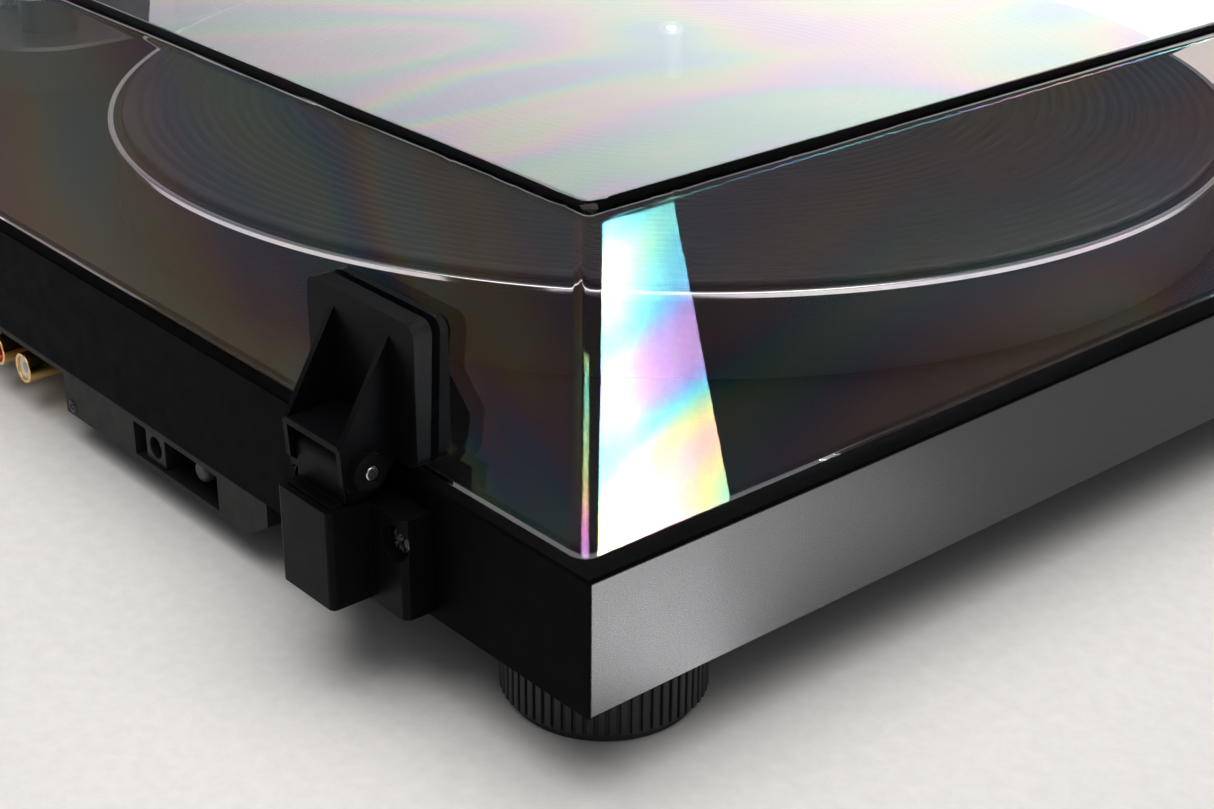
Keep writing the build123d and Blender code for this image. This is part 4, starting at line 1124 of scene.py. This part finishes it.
# ---- Platter and drive ----
@dataclass
class PlatterDrive:
    """The platter with its polished ring and grooved mat, and the parts that turn it."""

    shop: Workshop
    wall: float = 6.0 * MM
    ring: float = 1.6 * MM
    bore: float = 3.65 * MM
    label_radius: float = 50.0 * MM
    groove_pitch: float = 3.2 * MM
    groove_depth: float = 0.7 * MM
    groove_share: float = 0.3
    border: float = 4.0 * MM
    chamfer: float = 0.5 * MM
    label_depth: float = 1.0 * MM
    seat_gap: float = 0.2 * MM
    sides: int = 256
    mat_sides: int = 192

    def rides(self, name: str, section: Sequence[Point], place: Matrix, sides: int, slot: str, node: str,
              material: bpy.types.Material | None = None) -> None:
        """Turns a piece and mounts it on the platter's body.

        Args:
            name: The piece's name.
            section: Its closed section.
            place: Where the platter's axis stands.
            sides: Flats round the axis.
            slot: The slot it takes its finish from.
            node: The CAD node it stands for.
            material: A finish other than the slot's.
        """
        made = eased(turned(name, section, place, sides), 0.0)
        self.shop.mount(made, Body.PLATTER.value, slot, node, material=material)

    def build(self) -> None:
        """Builds the platter and dresses its drive."""
        shop = self.shop
        low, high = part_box("platter")
        centre = middle("platter")
        place = facing((centre.x, centre.y, 0.0))
        radius = (high.x - low.x) / 2
        mat_low, mat_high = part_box("platter_mat")
        mat_radius = (mat_high.x - mat_low.x) / 2
        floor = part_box("sub_platter")[1].z
        seat = mat_radius + self.seat_gap
        rim, step = high.z, radius - self.ring
        section = ((self.bore, floor), (radius - self.wall, floor), (radius - self.wall, low.z),
                   (radius, low.z), (radius, rim - self.ring), (step, rim - self.ring), (step, rim),
                   (seat, rim), (seat, mat_low.z), (self.bore, mat_low.z))
        self.rides("platter_disc", rounded(section, 0.5 * MM), place, self.sides, "platter_black", "platter")
        band = ((step, rim - self.ring), (radius, rim - self.ring), (radius, rim), (step, rim))
        bright = TurnedMetal("ring_turned", (0.92, 0.92, 0.93), (centre.x, centre.y, 0.0), roughness=0.12)
        self.rides("polished_ring", rounded(band, 0.35 * MM), place, self.sides, "ring_polished",
                   "platter_ring", bright.build())
        self.rides("grooved_mat", self.mat_section(mat_radius, mat_low.z, mat_high.z), place,
                   self.mat_sides, "mat_rubber", "platter_mat")
        for node in ("sub_platter", "bearing_well", "motor", "drive_belt", "spindle", "motor_pulley"):
            shop.dress(node)

    def mat_section(self, radius: float, low: float, high: float) -> list[Point]:
        """The mat's section, with round grooves from the label to the edge.

        Args:
            radius: The mat's outer radius.
            low: Its underside's height.
            high: Its top's height.

        Returns:
            The closed section.
        """
        section: list[Point] = [(self.bore, low), (radius, low), (radius, high - self.chamfer),
                                (radius - self.chamfer, high)]
        place, half = radius - self.border, self.groove_pitch * self.groove_share
        while place > self.label_radius:
            section += [(place + half, high), (place + half * 0.5, high - self.groove_depth),
                        (place - half * 0.5, high - self.groove_depth), (place - half, high)]
            place -= self.groove_pitch
        section += [(self.label_radius - 2 * MM, high), (self.label_radius - 3 * MM, high - self.label_depth),
                    (self.bore, high - self.label_depth)]
        return section


# ---- Tonearm and controls ----
@dataclass
class Tonearm:
    """The arm on its base, with counterweight, dials, cueing and rest."""

    shop: Workshop
    edges: dict[str, float] = field(default_factory=lambda: {
        "arm_base": 0.7, "arm_yoke": 0.5, "arm_tube": 0.4, "headshell": 0.35, "cartridge": 0.4,
        "force_dial": 0.3, "counterweight": 0.4, "anti_skate_dial": 0.4, "cue_lift": 0.3,
        "cue_lever": 0.35, "arm_rest": 0.4, "arm_clip": 0.25})
    rib_width: float = 2.2
    rib_length: float = 0.62
    dial_skirt: float = 5.5 * MM
    tick: Point = (1.6 * MM, 0.3 * MM, 0.06 * MM)

    def knurl(self, name: str, node: str, slot: str, axis: Point, count: int, proud: float) -> None:
        """Adds grip ribs round a node.

        Args:
            name: The ribs' name.
            node: The node they go round.
            slot: Their slot.
            axis: The node's axis.
            count: How many ribs.
            proud: How far they stand out, in metres.
        """
        low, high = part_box(node)
        size = high - low
        along = abs(Vector(axis).dot(size))
        radius = (size.x if abs(axis[0]) < 0.5 else size.y) / 2
        start = middle(node) - Vector(axis) * along / 2
        if node == "anti_skate_dial":
            along -= self.dial_skirt
            start = Vector((start.x, start.y, high.z - along))
        size = (2 * proud, radius * self.rib_width / count, along * self.rib_length)
        rib = eased(block("rib", size, Matrix.Translation((0, 0, along / 2))), 0.12 * MM, 1)
        ribs = Spread(name, rib, self.shop.finish(slot)).round_axis(count, radius, facing(start, axis))
        self.shop.mount(ribs, self.shop.body_of[node], slot)

    def ticks(self, name: str, node: str, axis: Point, count: int, radius: float) -> None:
        """Prints plain white ticks round the face of a dial.

        Args:
            name: The ticks' name.
            node: The dial's node.
            axis: Where its face looks.
            count: How many ticks.
            radius: The radius of their middles.
        """
        low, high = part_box(node)
        size = high - low
        face = middle(node) + Vector(axis) * abs(Vector(axis).dot(size)) / 2
        tick = block("tick", self.tick, HERE)
        white = self.shop.finish("mark_white")
        made = Spread(name, tick, white).round_axis(count, radius, facing(face, axis))
        self.shop.mount(made, self.shop.body_of[node], "stylus_white", material=white)

    def build(self) -> None:
        """Softens the arm's parts and adds ribs and ticks."""
        for node, edge in self.edges.items():
            self.shop.soften(node, edge * MM)
        self.shop.dress("stylus")
        self.knurl("counterweight_ribs", "counterweight", "arm_black", (0, 1, 0), 48, 0.25 * MM)
        self.knurl("anti_skate_ribs", "anti_skate_dial", "control_metal", (0, 0, 1), 36, 0.25 * MM)
        self.ticks("anti_skate_ticks", "anti_skate_dial", (0, 0, 1), 12, 6.6 * MM)
        self.ticks("force_ticks", "force_dial", (0, -1, 0), 30, 12.2 * MM)


@dataclass
class Controls:
    """The start button and speed knob on the deck."""

    shop: Workshop
    pointer: Point = (0.7 * MM, 4.0 * MM, 0.08 * MM)

    def build(self) -> None:
        """Gives each control a spun finish and the knob its pointer."""
        shop = self.shop
        for node in ("start_button", "speed_knob"):
            centre = middle(node)
            spun = TurnedMetal(f"{node}_spun", (0.5, 0.5, 0.51), (centre.x, centre.y, 0.0))
            shop.soften(node, 0.0, material=spun.build())
        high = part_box("speed_knob")[1]
        pointer = block("pointer", self.pointer,
                        Matrix.Translation((centre.x, high.y - self.pointer[1], high.z)))
        shop.mount(pointer, Body.SPEED.value, "stylus_white", material=shop.finish("mark_white"))


# ---- Studio ----
def looking_in(towards: Point, distance: float) -> Matrix:
    """A place that looks back at the object.

    Args:
        towards: Its direction from the object.
        distance: How far away, in metres.

    Returns:
        The place as a matrix.
    """
    way = Vector(towards).normalized()
    return Matrix.Translation(way * distance) @ way.to_track_quat("Z", "Y").to_matrix().to_4x4()


def looking_up(place: Point, turn: float) -> Matrix:
    """A place that looks upwards.

    Args:
        place: Where it lies, in metres.
        turn: The angle of its length from X, in degrees.

    Returns:
        The place as a matrix.
    """
    upwards = Matrix.Rotation(math.radians(turn), 4, "Z") @ Matrix.Rotation(math.pi, 4, "X")
    return Matrix.Translation(place) @ upwards


@dataclass(frozen=True)
class Lamp:
    """A soft rectangular light: size in metres, power in watts, spread in degrees, and what it lights."""

    name: str
    size: Point
    power: float
    place: Matrix
    only: tuple[str, ...] = ()
    spread: float = 180.0

    def build(self) -> None:
        """Adds the light, which the camera doesn't see."""
        data = bpy.data.lights.new(self.name, "AREA")
        data.shape = "RECTANGLE"
        data.size, data.size_y = self.size
        data.energy = self.power
        data.spread = math.radians(self.spread)
        lamp = bpy.data.objects.new(self.name, data)
        lamp.matrix_world = self.place
        lamp.visible_camera = False
        if self.only:
            lit = bpy.data.collections.new(f"lit_by_{lamp.name}")
            for piece in self.only:
                lit.objects.link(bpy.data.objects[piece])
            lamp.light_linking.receiver_collection = lit
            lamp.visible_transmission = False
        bpy.context.scene.collection.objects.link(lamp)


@dataclass
class Studio:
    """A pale floor, soft lights and the camera."""

    corner_offset: Point = (-248.08 * MM, 211.85 * MM, 221.85 * MM)
    lens: float = 61.34
    azimuth: float = 48.96
    elevation: float = 25.53
    roll: float = 0.45
    floor_half: float = 9.0
    strip_place: Point = (-410.0 * MM, -1.0 * MM, 1.0 * MM)
    strip_length: float = 330.0 * MM
    strip_widths: tuple[float, ...] = (18.0 * MM, 26.0 * MM, 36.0 * MM, 48.0 * MM, 62.0 * MM)
    strip_turn: float = 39.5
    strip_power: float = 4.8
    air: Point = (0.92, 0.94, 1.0, 1.0)
    air_strength: float = 0.16

    def camera(self) -> None:
        """Sets the camera from the plinth's lower back corner."""
        low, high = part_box("plinth_body")
        corner = Vector((low.x, high.y, low.z))
        data = bpy.data.cameras.new("camera")
        data.lens = self.lens
        data.sensor_width = 36.0
        data.clip_start = 0.01
        camera = bpy.data.objects.new("camera", data)
        az, el, roll = (math.radians(v) for v in (self.azimuth, self.elevation, self.roll))
        back = Vector((-math.sin(az) * math.cos(el), math.cos(az) * math.cos(el), math.sin(el)))
        right = (-back).cross(Vector((0, 0, 1))).normalized()
        up = right.cross(-back)
        across = right * math.cos(roll) + up * math.sin(roll)
        upwards = up * math.cos(roll) - right * math.sin(roll)
        turn = Matrix((across, upwards, back)).transposed().to_4x4()
        camera.matrix_world = Matrix.Translation(corner + Vector(self.corner_offset)) @ turn
        bpy.context.scene.collection.objects.link(camera)
        bpy.context.scene.camera = camera

    def floor(self) -> None:
        """Lays the pale floor."""
        mesh = bmesh.new()
        bmesh.ops.create_grid(mesh, x_segments=1, y_segments=1, size=self.floor_half)
        made = as_object("floor", mesh)
        s = Shader("floor_white")
        fine = s.noise(260.0, 5.0, rough=0.6)
        s.feed("Base Color", s.shades(fine, ((0.3, (0.80, 0.775, 0.745)), (0.7, (0.86, 0.835, 0.805)))))
        s.feed("Roughness", s.span(fine, 0.5, 0.62))
        s.bump(s.noise(900.0, 4.0), 0.00004)
        made.data.materials.append(s.material)

    def lamps(self) -> list[Lamp]:
        """The lights, of which some show only in the cover's walls or the side panels.

        Returns:
            The lights in the order they are added.
        """
        cover, left = ("soft_dust_cover",), ("soft_left_panel",)
        others = ("soft_front_panel", "soft_right_panel")
        strip = looking_up(self.strip_place, self.strip_turn)
        return [
            Lamp("cover_box", (2.4, 1.7), 7.6, looking_in((0.58, -0.74, 0.36), 2.6), cover, 64.0),
            Lamp("top_box", (2.3, 2.3), 47.0, looking_in((-0.15, 0.1, 1.0), 2.2)),
            Lamp("side_box", (1.2, 1.2), 2.5, looking_in((-0.9, 0.5, 0.8), 2.2)),
            Lamp("edge_box", (0.7, 0.2), 16.0, looking_in((-0.75, -0.66, 0.12), 1.6), cover),
            Lamp("front_box", (2.6, 0.7), 16.0, looking_in((0.62, -0.95, 0.12), 2.0), others),
            *(Lamp("wall_strip", (self.strip_length, width), self.strip_power, strip, cover)
              for width in self.strip_widths),
            Lamp("corner_patch", (0.2, 0.12), 6.0, looking_up((-0.36, 0.31, 0.001), -45.0), cover),
            Lamp("panel_patch", (0.1, 0.06), 0.18, looking_up((-0.283, 0.112, 0.001), 40.0), left),
            Lamp("panel_fade", (0.05, 0.08), 0.055, looking_up((-0.285, 0.062, 0.001), 0.0), left),
        ]

    def world(self) -> None:
        """Gives the surroundings an even pale light."""
        world = bpy.data.worlds.new("surroundings")
        world.use_nodes = True
        ground = world.node_tree.nodes["Background"]
        ground.inputs[0].default_value = self.air
        ground.inputs[1].default_value = self.air_strength
        bpy.context.scene.world = world

    def build(self) -> None:
        """Builds the studio."""
        self.camera()
        bpy.context.scene.view_settings.view_transform = "Standard"
        self.floor()
        for lamp in self.lamps():
            lamp.build()
        self.world()


def main() -> None:
    """Builds the record player round the frame, with its studio."""
    logging.basicConfig(level=logging.INFO, format="%(name)s %(message)s")
    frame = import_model()
    shop = Workshop(frame)
    Plinth(shop).build()
    Connectors(shop).build()
    for corner in ("front_left", "front_right", "back_left", "back_right"):
        Foot(shop, corner).build()
    Hinges(shop).build()
    DustCover(shop).build()
    PlatterDrive(shop).build()
    Tonearm(shop).build()
    Controls(shop).build()
    for node in sorted(shop.left):
        LOG.warning("%s has no finish yet", node)
        shop.dress(node)
    Studio().build()


if __name__ == "__main__":
    main()
